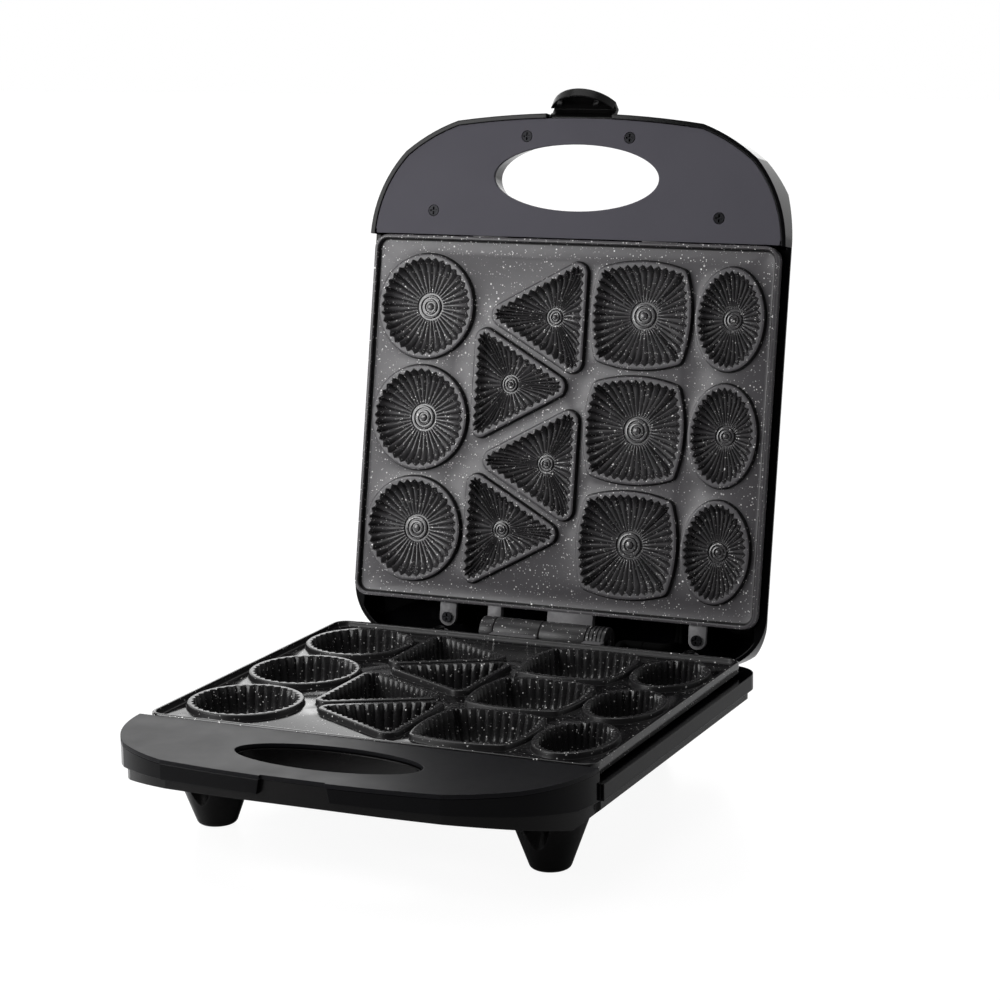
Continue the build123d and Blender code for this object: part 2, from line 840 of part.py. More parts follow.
def lid_handle_cover():
    """Grey panel inside the rim of the lid's handle."""
    outline = offset(handle_plan(), amount=-cover_inset)
    width = 2 * (handle_half - cover_inset - cover_gap)
    outline += Pos(0, plate_front - cover_inset) * Rectangle(width, 2 * cover_inset)
    outline -= Pos(0, plate_front) * Rectangle(2 * base_half, 2 * cover_gap)
    back = lid_cover_drop + cover_thickness
    body = slab(outline, lid_cover_drop, back)
    for x, y in cover_screw_places():
        body -= rod(x, y, 0, back - screw_head_height / 4, screw_head_radius + seat_gap)
        body -= rod(x, y, 0, back + overrun, screw_radius + screw_play)
    return body - slab(hand_hole(0), 0, back + overrun)


def lid_cover_screws():
    """The four screws that show in the grey panel."""
    parts = []
    seat = lid_cover_drop + cover_thickness - screw_head_height / 4
    for x, y in cover_screw_places():
        head = cross_head(x, y, seat - screw_head_height, seat, screw_head_radius)
        parts.append(head + rod(x, y, seat, cover_screw_length, screw_radius))
    return parts


# Latch


def latch():
    """A domed cap with two hooks, drawn hooked under the lower handle's panel."""
    inner = latch_y - latch_barrel + seat_gap
    outer = inner - latch_bulge - latch_thickness
    tip = latch_pin_depth - latch_length
    hip = latch_pin_depth - latch_shoulder
    arc = ThreePointArc((-latch_half, hip), (0, tip), (latch_half, hip))
    top = latch_pin_depth + latch_barrel / 2
    lines = Polyline([(latch_half, hip), (latch_half, top), (-latch_half, top), (-latch_half, hip)])
    face = make_face(Curve() + [arc, lines])
    lever = Pos(0, outer, 0) * extrude(Plane.XZ * face, amount=-latch_thickness)
    lip = offset(face, amount=-latch_lip)
    deep = latch_thickness + latch_bulge
    border = extrude(Plane.XZ * face, amount=-deep) - extrude(Plane.XZ * lip, amount=-deep)
    upper = block(0, outer + deep / 2, hip, 4 * latch_half, 2 * deep, latch_length)
    lever += Pos(0, outer, 0) * border - upper
    lever += cross_rod(-latch_half, latch_half, latch_y, latch_pin_depth, latch_barrel)
    web = latch_y - outer - latch_thickness / 2
    lever += block(0, latch_y - web / 2, top - latch_barrel, 2 * latch_half, web, latch_barrel)
    near = -base_cover_drop - cover_thickness - hook_play - hook_thickness
    reach = inner + hook_reach - outer - latch_thickness / 2
    for s in sides:
        y = inner + hook_reach - reach / 2
        lever += block(s * hook_place, y, near, hook_width, reach, hook_thickness)
    lever -= cross_rod(-latch_half - overrun, latch_half + overrun, latch_y, latch_pin_depth,
                       latch_pin_radius + running_clearance)
    return lever


def latch_pin():
    reach = latch_half + latch_side_gap + latch_ear - overrun
    return cross_rod(-reach, reach, latch_y, latch_pin_depth, latch_pin_radius)


# Parts inside the base


def hinge_pin():
    return cross_rod(ring_start + overrun / 4, knob_end - overrun / 4, hinge_y, hinge_drop, hinge_pin_radius)


def terminal_block():
    """Ceramic block with grooves for its connections."""
    top = pan_depth - casing_wall - block_foot_height - block_height
    body = block(block_x, block_y, top, block_width - 2 * block_foot, block_depth, block_height)
    foot_near = pan_depth - casing_wall - 2 * block_foot_height
    body += block(block_x, block_y, foot_near, block_width, block_depth, block_foot_height)
    for i in range(-1, 2):
        x = block_x + 2 * i * block_groove
        body -= block(x, block_y, top, block_groove, 2 * block_depth, block_groove)
    for s in sides:
        x = block_x + s * (block_width / 2 - block_foot / 2)
        body -= rod(x, block_y, foot_near - overrun, pan_depth, screw_radius + screw_play)
    return body


def terminal_block_screws():
    parts = []
    seat = pan_depth - casing_wall - 2 * block_foot_height
    for s in sides:
        x = block_x + s * (block_width / 2 - block_foot / 2)
        head = rod(x, block_y, seat - screw_head_height, seat, screw_head_radius)
        parts.append(head + rod(x, block_y, seat, seat + block_screw_length, screw_radius))
    return parts


def cord_bush():
    """A bush in the rear wall, with its flange outside."""
    start = base_rear + bush_flange_thickness
    length = bush_flange_thickness + 2 * casing_wall + seat_gap + bush_inside
    neck = Cylinder(bush_neck, length, align=(Align.CENTER, Align.CENTER, Align.MIN))
    flange = Cylinder(bush_flange, bush_flange_thickness, align=(Align.CENTER, Align.CENTER, Align.MIN))
    bore = Cylinder(bush_bore, 3 * length)
    return Pos(bush_x, start, bush_depth) * Rot(90, 0, 0) * (neck + flange - bore)


def cord_clamp():
    """A bar over the place where the cord lies, with a low arch."""
    near = bush_depth - clamp_thickness * 3 / 2
    body = block(bush_x, clamp_y, near, clamp_length, clamp_width, 2 * clamp_thickness)
    arch = Cylinder(bush_bore, 2 * clamp_width)
    body -= Pos(bush_x, clamp_y, bush_depth + clamp_thickness * 3 / 2) * Rot(90, 0, 0) * arch
    for s in sides:
        x = bush_x + s * clamp_screw_spacing / 2
        body -= rod(x, clamp_y, near - overrun, pan_depth, screw_radius + screw_play)
    return body


def cord_clamp_screws():
    parts = []
    seat = bush_depth - clamp_thickness * 3 / 2
    for s in sides:
        x = bush_x + s * clamp_screw_spacing / 2
        head = rod(x, clamp_y, seat - screw_head_height, seat, screw_head_radius)
        parts.append(head + rod(x, clamp_y, seat, seat + clamp_screw_length, screw_radius))
    return parts


def wire(points, radius, bend):
    """A round wire along straight runs joined by arcs."""
    path = FilletPolyline(*points, radius=bend)
    start = Plane(origin=path @ 0, z_dir=path % 0)
    return sweep(start * Circle(radius), path=path)


def lead_sleeve_base():
    """The base half of the sleeve round the wires that cross at the hinge."""
    turn = sleeve_split - sleeve_turn
    ahead = hinge_y - sleeve_forward
    points = [(sleeve_split - sleeve_gap / 2, hinge_y, hinge_drop), (turn, hinge_y, hinge_drop),
              (turn, ahead, hinge_drop), (turn, ahead, sleeve_drop)]
    return wire(points, sleeve_radius, sleeve_bend)


def lead_sleeve_lid():
    """The lid half of that sleeve."""
    turn = sleeve_split + sleeve_turn
    points = [(sleeve_split + sleeve_gap / 2, hinge_y, -hinge_drop), (turn, hinge_y, -hinge_drop),
              (turn, hinge_y, sleeve_rise)]
    return wire(points, sleeve_radius, sleeve_bend)


def base_leads(element_depth):
    """Wires from the terminal block to the heater's ends and to the sleeve."""
    front = block_y - block_depth / 2
    pin = element_end + bead_length + terminal_length - lead_radius
    parts = []
    for s, x in ((-1, element_first), (1, element_fourth)):
        start = block_x + s * lead_side
        points = [(start, front, lead_depth), (start, lead_row, lead_depth), (x, lead_row, lead_depth),
                  (x, pin, lead_depth), (x, pin, element_depth + terminal_radius + screw_play)]
        parts.append(wire(points, lead_radius, lead_bend))
    turn = sleeve_split - sleeve_turn
    ahead = hinge_y - sleeve_forward
    start = block_x + lead_side
    points = [(turn, ahead, sleeve_drop), (turn, ahead, lead_depth), (start, ahead, lead_depth),
              (start, block_y + block_depth / 2 + screw_play, lead_depth)]
    return parts + [wire(points, lead_radius, lead_bend)]


# Parts inside the lid


def thermostat(tray):
    """A disc thermostat on the lid's tray, with two spade tabs."""
    near = tray + tray_wall
    body = rod(thermostat_x, thermostat_y, near, near + thermostat_flange, thermostat_flange_radius)
    body += rod(thermostat_x, thermostat_y, near, near + thermostat_height, thermostat_radius)
    level = near + thermostat_height - overrun / 2
    for s in sides:
        x = thermostat_x + s * spade_spacing / 2
        body += block(x, thermostat_y, level, spade_thickness, spade_width, spade_height)
    return body


def thermal_fuse(tray):
    """A thermal fuse that lies on the lid's tray."""
    level = tray + tray_wall + fuse_radius
    start = thermostat_x - fuse_length / 2
    end = start + fuse_length
    body = cross_rod(start, end, fuse_y, level, fuse_radius)
    return body + cross_rod(start - fuse_tail, end + fuse_tail, fuse_y, level, fuse_tail_radius)


def fuse_clip(tray):
    """A small saddle that holds the fuse down."""
    near = tray + tray_wall
    height = 2 * fuse_radius + clip_wall + seat_gap
    width = 2 * (fuse_radius + clip_wall + seat_gap)
    body = block(thermostat_x, fuse_y, near, clip_width, width, height)
    body += block(thermostat_x, fuse_y, near, clip_width, 6 * fuse_radius, clip_wall)
    level = near + fuse_radius
    hollow = fuse_radius + seat_gap / 2
    body -= cross_rod(thermostat_x - clip_width, thermostat_x + clip_width, fuse_y, level, hollow)
    height = overrun + fuse_radius
    return body - block(thermostat_x, fuse_y, near - overrun, 2 * clip_width, 2 * hollow, height)


def lamp_board():
    y = plate_front + board_behind
    body = block(0, y, board_depth, board_width, board_side, board_thickness)
    for s in sides:
        body -= rod(s * board_screw_half, y, 0, lid_depth, board_screw_radius + screw_play)
    return body


def lamp_board_screws():
    y = plate_front + board_behind
    parts = []
    for s in sides:
        x = s * board_screw_half
        head = rod(x, y, board_depth - board_head_height, board_depth, board_head_radius)
        parts.append(head + rod(x, y, board_depth, board_depth + board_screw_length, board_screw_radius))
    return parts


def lamps():
    """Two small neon lamps that stand on the board under the lenses."""
    y = plate_front + board_behind
    near = board_depth + board_thickness
    parts = []
    for s in sides:
        glass = rod(s * lamp_half, y, near, near + lamp_length, lamp_radius)
        parts.append(fillet(glass.edges().group_by(Axis.Z)[-1], lamp_radius / 2))
    return parts


def lamp_lenses():
    """Two round lenses pressed into the lid from inside."""
    y = plate_front + board_behind
    back = lid_depth - casing_wall
    parts = []
    for s in sides:
        lens = rod(s * lamp_half, y, back, lid_depth + lens_proud, lens_radius)
        lens = fillet(lens.edges().group_by(Axis.Z)[-1], lens_proud / 2)
        parts.append(lens + rod(s * lamp_half, y, back - lens_flange_thickness, back, lens_flange))
    return parts


def lid_leads(element_depth, tray):
    """Wires from the sleeve to the thermostat and to the heater's end."""
    turn = sleeve_split + sleeve_turn
    left = turn - lead_radius - screw_play
    right = turn + lead_radius + screw_play
    bend = sleeve_rise + sleeve_run
    spade = thermostat_x + spade_spacing / 2
    contact = element_depth + terminal_radius + screw_play
    level = lid_lead_depth
    points = [(left, hinge_y, sleeve_rise), (left, hinge_y, bend), (left, element_end + overrun, level),
              (spade, lid_lead_far, level), (spade, spade_width / 2 + screw_play, level)]
    first = wire(points, lead_radius, lead_bend)
    pin = element_end + bead_length + terminal_length - lead_radius
    points = [(right, hinge_y, sleeve_rise), (right, hinge_y, bend), (right, pin, bend),
              (element_fourth, pin, bend), (element_fourth, pin, contact)]
    return [first, wire(points, lead_radius, lead_bend)]


# Turning the drawing over for the base, and opening the lid


def in_base(shapes):
    """Turns depth downwards under the plane where the plates meet."""
    shapes = shapes if isinstance(shapes, list) else [shapes]
    return [Pos(0, 0, base_parting) * mirror(s, about=Plane.XY) for s in shapes]


def in_lid(shapes):
    """Lifts the lid open about the hinge."""
    shapes = shapes if isinstance(shapes, list) else [shapes]
    axis = Axis((0, hinge_y, base_parting - hinge_drop), (1, 0, 0))
    return [(Pos(0, 0, base_parting) * s).rotate(axis, -open_angle) for s in shapes]


def released(lever):
    """Swings the latch out of the notch about its pin."""
    return lever.rotate(Axis((0, latch_y, latch_pin_depth), (1, 0, 0)), -latch_swing)


def build():
    """Every named piece where it lies with the lid open."""
    lower_element_depth = lower_cup_depth + cup_wall + element_radius
    upper_element_depth = upper_cup_depth + cup_wall + element_radius
    lower_tray = lower_element_depth + element_radius
    upper_tray = upper_element_depth + element_radius
    lower_knuckles = [(base_knuckle, base_knuckle_end), (knob_start, knob_end)]
    upper_knuckles = [(ring_start, ring_end), (lid_knuckle, lid_knuckle_end)]
    base = {
        "base_pan": base_pan(),
        "foot_pads": foot_pads(),
        "base_frame": base_frame(),
        "base_handle_cover": base_handle_cover(),
        "base_cover_screws": base_cover_screws(),
        "lower_plate": plate(lower_cup_depth, hinge_drop, lower_knuckles, lower_knuckles, lower_tray),
        "lower_plate_screws": tab_screws(),
        "lower_element": element(lower_element_depth),
        "lower_terminals": terminals(lower_element_depth),
        "lower_reflector": reflector(lower_tray),
        "lower_reflector_screws": reflector_screws(lower_tray),
        "terminal_block": terminal_block(),
        "terminal_block_screws": terminal_block_screws(),
        "cord_bush": cord_bush(),
        "cord_clamp": cord_clamp(),
        "cord_clamp_screws": cord_clamp_screws(),
        "base_leads": base_leads(lower_element_depth),
        "base_lead_sleeve": lead_sleeve_base(),
        "hinge_pin": hinge_pin(),
    }
    lid = {
        "lid_housing": lid_housing(),
        "lid_handle_cover": lid_handle_cover(),
        "lid_cover_screws": lid_cover_screws(),
        "upper_plate": plate(upper_cup_depth, -hinge_drop, upper_knuckles, upper_knuckles, upper_tray),
        "upper_plate_screws": tab_screws(),
        "upper_element": element(upper_element_depth),
        "upper_terminals": terminals(upper_element_depth),
        "upper_reflector": reflector(upper_tray),
        "upper_reflector_screws": reflector_screws(upper_tray),
        "thermostat": thermostat(upper_tray),
        "thermal_fuse": thermal_fuse(upper_tray),
        "fuse_clip": fuse_clip(upper_tray),
        "lamp_board": lamp_board(),
        "lamp_board_screws": lamp_board_screws(),
        "lamps": lamps(),
        "lamp_lenses": lamp_lenses(),
        "lid_leads": lid_leads(upper_element_depth, upper_tray),
        "lid_lead_sleeve": lead_sleeve_lid(),
        "latch_pin": latch_pin(),
        "latch": released(latch()),
    }
    pieces = {name: in_base(shape) for name, shape in base.items()}
    pieces.update({name: in_lid(shape) for name, shape in lid.items()})
    return pieces


def centred(pieces):
    """Moves the open machine so that the middle of its footprint is at the origin."""
    low = min(shape.bounding_box().min.Y for shape in pieces["base_frame"])
    high = max(shape.bounding_box().max.Y for shape in pieces["lid_housing"])
    move = Pos(0, -(low + high) / 2, 0)
    return {name: [move * shape for shape in shapes] for name, shapes in pieces.items()}


os.makedirs("parts", exist_ok=True)
for name, shapes in centred(build()).items():
    solids = [solid for shape in shapes for solid in shape.solids()]
    export_step(solids[0] if len(solids) == 1 else Compound(children=solids), "parts/" + name + ".step")
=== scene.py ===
import bpy
import bmesh
import math
from mathutils import Matrix, Vector


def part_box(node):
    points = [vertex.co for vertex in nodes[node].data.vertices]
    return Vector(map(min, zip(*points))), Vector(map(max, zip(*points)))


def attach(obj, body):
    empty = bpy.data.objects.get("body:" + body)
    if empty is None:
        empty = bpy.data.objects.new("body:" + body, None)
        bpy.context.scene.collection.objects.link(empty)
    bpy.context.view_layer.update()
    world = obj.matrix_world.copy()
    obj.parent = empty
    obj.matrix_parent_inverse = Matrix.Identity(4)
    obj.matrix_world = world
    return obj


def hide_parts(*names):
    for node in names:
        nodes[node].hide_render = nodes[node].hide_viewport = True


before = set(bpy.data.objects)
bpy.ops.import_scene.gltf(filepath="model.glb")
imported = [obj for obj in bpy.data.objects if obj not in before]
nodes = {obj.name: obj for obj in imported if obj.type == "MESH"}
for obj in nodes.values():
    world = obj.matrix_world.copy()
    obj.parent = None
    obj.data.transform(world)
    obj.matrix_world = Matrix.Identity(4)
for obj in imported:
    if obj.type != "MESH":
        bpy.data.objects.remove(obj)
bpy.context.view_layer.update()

# Sizes in millimetres, the same as the solids. Each half is drawn closed, in a frame of its own: X runs along
# the hinge, Y from the handle to the hinge, and depth from the plane where the plates meet into the half.
MM = 0.001
PLATE_WIDTH, PLATE_LENGTH, PLATE_CORNER = 238.0, 202.5, 8.0
FRONT, REAR = -PLATE_LENGTH / 2, PLATE_LENGTH / 2
TRAY_FLOOR, SHEET_BACK, SKIRT_END = 3.2, 5.7, 6.6
CAST_WALL = 2.2
PARTING_HEIGHT = 58.0
HINGE_Y, HINGE_DROP, OPEN_ANGLE = REAR + 13.25, 2.2, 100.8

# How far the halves' middle lies in front of the model's, from the middle of the pin, whose box is in metres.
PIN_LOW, PIN_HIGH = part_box("hinge_pin")
SHIFT = HINGE_Y - 500 * (PIN_LOW[1] + PIN_HIGH[1])

# Places of the two halves in the model.
SEAT = Matrix.Translation((0, -SHIFT, PARTING_HEIGHT))
HINGE = Vector((0, HINGE_Y - SHIFT, PARTING_HEIGHT - HINGE_DROP))
BASE = SEAT @ Matrix.Diagonal((1, 1, -1, 1))
LID = (Matrix.Translation(HINGE) @ Matrix.Rotation(math.radians(-OPEN_ANGLE), 4, "X")
       @ Matrix.Translation(-HINGE) @ SEAT)

# Places of the materials in a plate's list. The last is a near-black copy of the coating, painted shade on
# the lands' walls and the rim's inner slope.
TRAY_COAT, CUP_COAT, BACK, HINGE_COAT, EDGE_SHADE_COAT = range(5)

# Edges sharper than this many degrees aren't smoothed.
SHARP_ANGLE = 38


# Mesh helpers

def add_to_scene(name, data):
    obj = bpy.data.objects.new(name, data)
    bpy.context.scene.collection.objects.link(obj)
    return obj


class Build:
    """Collects the points and faces of one half, in its own frame."""

    def __init__(self):
        self.points, self.faces, self.looks = [], [], []
        self.look = TRAY_COAT

    def use(self, look):
        """Faces added from now on take this material."""
        self.look = look

    def add(self, points):
        """Adds points and returns their numbers."""
        start = len(self.points)
        self.points += points
        return list(range(start, len(self.points)))

    def face(self, corners, flip=False):
        self.faces.append(tuple(corners[::-1] if flip else corners))
        self.looks.append(self.look)

    def band(self, a, b, flip=False):
        """Quads between two loops of the same length."""
        for i in range(len(a)):
            j = (i + 1) % len(a)
            self.face((a[i], a[j], b[j], b[i]), flip)

    def fan(self, loop, centre, flip=False):
        """Triangles from a loop to one point."""
        for i in range(len(loop)):
            self.face((loop[i], loop[(i + 1) % len(loop)], centre), flip)

    def sheet(self, outer, holes, flip=False):
        """Fills the flat region between an outer loop and holes."""
        bm = bmesh.new()
        number = {}
        for loop in [outer] + holes:
            ring = [bm.verts.new((*self.points[i][:2], 0)) for i in loop]
            number.update(zip(ring, loop))
            for pair in zip(ring, ring[1:] + ring[:1]):
                bm.edges.new(pair)
        bmesh.ops.triangle_fill(bm, use_beauty=True, edges=bm.edges[:])
        for f in bm.faces:
            self.face([number[v] for v in f.verts], flip != (f.normal.z < 0))
        bm.free()

    def make(self, half):
        """Makes the piece that stands for the half's CAD plate."""
        mesh = bpy.data.meshes.new(half["name"])
        points = [half["place"] @ Vector(p) * MM for p in self.points]
        mirrored = half["place"].determinant() < 0
        faces = [f[::-1] if mirrored else f for f in self.faces]
        mesh.from_pydata([tuple(p) for p in points], [], faces)
        mesh.polygons.foreach_set("material_index", self.looks)
        mesh.validate()
        mesh.shade_smooth()
        mesh.set_sharp_from_angle(angle=math.radians(SHARP_ANGLE))
        for coat in half["coats"]:
            mesh.materials.append(coat)
        obj = add_to_scene(half["name"], mesh)
        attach(obj, half["body"])
        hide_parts(half["node"])


# Outlines of the lands round the cups. Each row: a point, its outward normal and the edge's distance from it.

def circle(radius, steps=720):
    turns = [2 * math.pi * i / steps for i in range(steps)]
    return [(0.0, 0.0, math.cos(a), math.sin(a), radius) for a in turns]


def oval(half_x, half_y, steps=1440):
    rows = []
    for i in range(steps):
        a = 2 * math.pi * i / steps
        n = Vector((math.cos(a) / half_x, math.sin(a) / half_y)).normalized()
        rows.append((half_x * math.cos(a), half_y * math.sin(a), n.x, n.y, 0.0))
    return rows


def polygon(corners, radius, bow=0.0, side_steps=160, corner_steps=24):
    """A rounded polygon, anticlockwise, whose sides may bow out."""
    rows = []
    count = len(corners)
    for k in range(count):
        a, b, c = (Vector(corners[(k + i) % count]) for i in range(3))
        side, follow = b - a, c - b
        normal = Vector((side.y, -side.x)).normalized()
        follow_normal = Vector((follow.y, -follow.x)).normalized()
        swing = 4 * bow / side.length
        for i in range(side_steps + 1):
            t = i / side_steps
            p = a.lerp(b, t) + normal * bow * 4 * t * (1 - t)
            slope = swing * (2 * t - 1)
            n = (normal + side.normalized() * slope).normalized()
            rows.append((p.x, p.y, n.x, n.y, radius))
        leave = (normal + side.normalized() * swing).normalized()
        arrive = (follow_normal - follow.normalized() * 4 * bow / follow.length).normalized()
        for i in range(1, corner_steps):
            n = leave.slerp(arrive, i / corner_steps)
            rows.append((b.x, b.y, n.x, n.y, radius))
    return rows


def resample(rows, count):
    """Evenly spaced points and normals along an outline, from the point that faces +X."""
    edge = [(x + r * nx, y + r * ny) for x, y, nx, ny, r in rows]

    def facing(i):
        x, y = edge[i]
        return (x > 0) * (1.0 - abs(math.atan2(y, x)))

    first = max(range(len(edge)), key=facing)
    rows, edge = rows[first:] + rows[:first], edge[first:] + edge[:first]
    run = [0.0]
    for a, b in zip(edge, edge[1:] + edge[:1]):
        run.append(run[-1] + math.hypot(b[0] - a[0], b[1] - a[1]))
    out, k = [], 0
    for i in range(count):
        want = run[-1] * i / count
        while run[k + 1] < want:
            k += 1
        t = (want - run[k]) / (run[k + 1] - run[k])
        after_k = (k + 1) % len(edge)
        a, b = edge[k], edge[after_k]
        n = Vector(rows[k][2:4]).lerp(Vector(rows[after_k][2:4]), t).normalized()
        out.append((a[0] + (b[0] - a[0]) * t, a[1] + (b[1] - a[1]) * t, n.x, n.y))
    return out


ROUND_SIZE = 58.7
OVAL_WIDTH, OVAL_LENGTH = 39.6, 55.8
SQUARE_SIZE, SQUARE_BOW, SQUARE_CORNER = 58.8, 3.4, 4.4
SQUARE = SQUARE_SIZE / 2 - SQUARE_BOW - SQUARE_CORNER
SQUARE_CORE = [(SQUARE, -SQUARE), (SQUARE, SQUARE), (-SQUARE, SQUARE), (-SQUARE, -SQUARE)]
TRIANGLE_LENGTH, TRIANGLE_WIDTH, TRIANGLE_CORNER = 56.1, 60.6, 6.5
TIP_SHARE = 0.635  # of a triangle's length, from its boss to its tip
TIP_X = TIP_SHARE * TRIANGLE_LENGTH - TRIANGLE_CORNER
SIDE_X = -(1 - TIP_SHARE) * TRIANGLE_LENGTH + TRIANGLE_CORNER
SIDE_Y = TRIANGLE_WIDTH / 2 - TRIANGLE_CORNER
TRIANGLE_CORE = [(TIP_X, 0.0), (SIDE_X, SIDE_Y), (SIDE_X, -SIDE_Y)]

# Each kind's land, with this many points for a flute, and the radius of its boss.
PER_FLUTE = 6
KINDS = {kind: (resample(outline, flutes * PER_FLUTE), boss) for kind, outline, flutes, boss in (
    ("round", circle(ROUND_SIZE / 2), 36, 8.0),
    ("oval", oval(OVAL_WIDTH / 2, OVAL_LENGTH / 2), 36, 6.0),
    ("square", polygon(SQUARE_CORE, SQUARE_CORNER, SQUARE_BOW), 44, 8.0),
    ("triangle", polygon(TRIANGLE_CORE, TRIANGLE_CORNER), 40, 5.4),
)}


def cup_places():
    """Each cup's kind, boss and turn in degrees, the same in both plates.

    The rounds, squares and ovals stand in columns of three. Between the rounds and the squares stand the
    triangles, which point left and right by turns.
    """
    pitch = 61.8
    boss_offset = (TIP_SHARE - 0.5) * TRIANGLE_LENGTH
    places = [("triangle", -16.9 + boss_offset, y, 180) for y in (-59.1, 21.2)]
    places += [("triangle", -26.0 - boss_offset, y, 0) for y in (-21.2, 59.1)]
    for y in (-pitch, 0.0, pitch):
        places += [("round", -85.2, y, 0), ("square", 42.8, y, 0), ("oval", 93.5, y, 0)]
    return places


# Cups

def lobe(i):
    """0 in a groove and 1 on the ridge between two grooves, where round ribs meet in narrow grooves."""
    return abs(math.sin(math.pi * (i % PER_FLUTE) / PER_FLUTE)) ** 0.75


def tooth(i):
    """0 where a groove runs out to a point and 1 on the tooth of the land between two grooves."""
    return 1 - abs(2 * (i % PER_FLUTE) / PER_FLUTE - 1)


# From the tray's floor up the land's wall and over its top. Each row: inset from the land's edge, depth.
LAND = [(-0.5, TRAY_FLOOR), (-0.15, TRAY_FLOOR - 0.12), (0.05, TRAY_FLOOR - 0.6), (0.15, 0.95), (0.4, 0.42),
        (0.95, 0.15), (1.7, 0.15)]
# The toothed lip inside the land. Each row: inset, depth, how much longer its teeth are than the half's.
LIP = [(1.95, 0.18, 0.0), (2.2, 0.45, 0.15)]
# Bands of faces up to the end of the wall and up to the end of the land's top.
WALL_BANDS, LAND_BANDS = 4, 7
# How far the bowl starts inside the land's edge, how far its wall then steps in below the lip, and how much
# longer the lip's teeth are there.
BOWL_INSET, BOWL_STEP, LONGER_TEETH = 2.3, 0.9, 0.1
# Share of the way to the boss over which the lip's teeth run out in the bowl's wall.
TEETH_SHARE = 0.24

# Each row: share of the way from the cup's lip to its boss, ridge depth, how much lower the groove lies.
UPPER_BOWL = [(0.02, 1.1, 1.9), (0.06, 2.2, 2.5), (0.12, 3.4, 2.6), (0.20, 4.3, 2.4), (0.30, 5.0, 2.1),
              (0.42, 5.5, 1.8), (0.56, 5.8, 1.6), (0.70, 6.0, 1.3), (0.84, 6.2, 1.1), (0.94, 6.4, 0.8)]
LOWER_BOWL = [(0.04, 4.5, 0.0), (0.08, 8.5, 0.0), (0.12, 12.0, 0.0), (0.17, 14.2, 0.3), (0.25, 15.6, 0.8),
              (0.38, 16.2, 1.2), (0.55, 16.5, 1.1), (0.72, 16.6, 0.9), (0.90, 16.7, 0.7)]

# The rings on the boss. Each row: share of the boss radius, height over its floor.
BOSS = [(1.0, 0.1), (0.95, -0.9), (0.84, -0.9), (0.79, 0.4), (0.70, 0.5), (0.65, -0.5), (0.55, -0.5),
        (0.50, 0.5), (0.40, 0.6), (0.35, -0.4), (0.27, -0.4), (0.22, 0.6), (0.11, 0.85)]
BOSS_SINK, BOSS_TOP = 0.2, 0.95

# The cone behind a cup. Each row: share of the land's size, share of the cup's depth.
CONE_SIDE, CONE_END = (0.93, 0.72), (0.72, 1.0)


def cup(b, half, kind, cx, cy, turn):
    """One cup from the tray's floor to its centre, and its back.

    Returns its loop on the tray's floor and its loop on the back of the sheet.
    """
    edge, boss = KINDS[kind]
    c, s = math.cos(math.radians(turn)), math.sin(math.radians(turn))

    def loop(points):
        """Adds points that are given from the cup's centre."""
        return b.add([(cx + x * c - y * s, cy + x * s + y * c, depth) for x, y, depth in points])

    def on_land(inset, depth, teeth=0.0):
        insets = [inset + teeth * tooth(i) for i in range(len(edge))]
        return loop([(x - k * nx, y - k * ny, depth) for k, (x, y, nx, ny) in zip(insets, edge)])

    def on_bowl(share, depth, groove):
        fade = max(0.0, 1 - share / TEETH_SHARE)
        points = []
        for i, (x, y, nx, ny) in enumerate(edge):
            teeth = (half["teeth"] + LONGER_TEETH) * fade * half["teeth_form"](i)
            inset = BOWL_INSET + BOWL_STEP * (1 - fade) + teeth
            x, y = x - inset * nx, y - inset * ny
            r = math.hypot(x, y)
            points.append((x + (x / r * boss - x) * share, y + (y / r * boss - y) * share,
                           depth + groove * (1 - lobe(i))))
        return loop(points)

    def on_boss(share, depth):
        from_middle = [(x, y, math.hypot(x, y)) for x, y, nx, ny in edge]
        return loop([(x / r * boss * share, y / r * boss * share, depth) for x, y, r in from_middle])

    floor = half["bowl"][-1][1] + BOSS_SINK
    loops = [on_land(*row) for row in LAND]
    loops += [on_land(inset, depth, half["teeth"] + longer) for inset, depth, longer in LIP]
    loops += [on_bowl(*row) for row in half["bowl"]]
    loops += [on_boss(share, floor - height) for share, height in BOSS]
    for k, (p, q) in enumerate(zip(loops, loops[1:])):
        # The bands on the land's wall take the near-black coating, as painted shade.
        b.use(EDGE_SHADE_COAT if k < WALL_BANDS else half["land_coat"] if k < LAND_BANDS else CUP_COAT)
        b.band(p, q, flip=True)
    b.fan(loops[-1], loop([(0, 0, floor - BOSS_TOP)])[0], flip=True)

    few = edge[::PER_FLUTE // 2]
    cone = [(1.0, SHEET_BACK)]
    cone += [(share, deep * half["cup_depth"] + CAST_WALL) for share, deep in (CONE_SIDE, CONE_END)]
    backs = [loop([(x * share, y * share, depth) for x, y, nx, ny in few]) for share, depth in cone]
    b.use(BACK)
    for p, q in zip(backs, backs[1:]):
        b.band(p, q)
    b.fan(backs[-1], loop([(0, 0, cone[-1][1])])[0])
    return loops[0], backs[0]


# The plate round the cups

# From the tray's floor over the plate's rim, down its side and round the skirt. Each row: inset, depth.
# The next list gives the material of each band of faces between two rows; the rim's inner slope takes painted
# shade.
RIM = [(3.3, TRAY_FLOOR), (2.75, TRAY_FLOOR - 0.12), (2.35, TRAY_FLOOR - 0.6), (2.2, 1.0), (2.02, 0.45),
       (1.65, 0.15), (0.8, 0.15), (0.33, 0.32), (0.08, 0.75), (0, 1.4), (0, 5.7), (0.15, 6.25), (0.5, 6.55),
       (0.9, SKIRT_END), (1.7, SKIRT_END), (2.2, 6.3), (2.2, SHEET_BACK)]
RIM_COATS = [EDGE_SHADE_COAT] * 3 + [CUP_COAT] * 2 + [TRAY_COAT] * 7 + [BACK] * 4

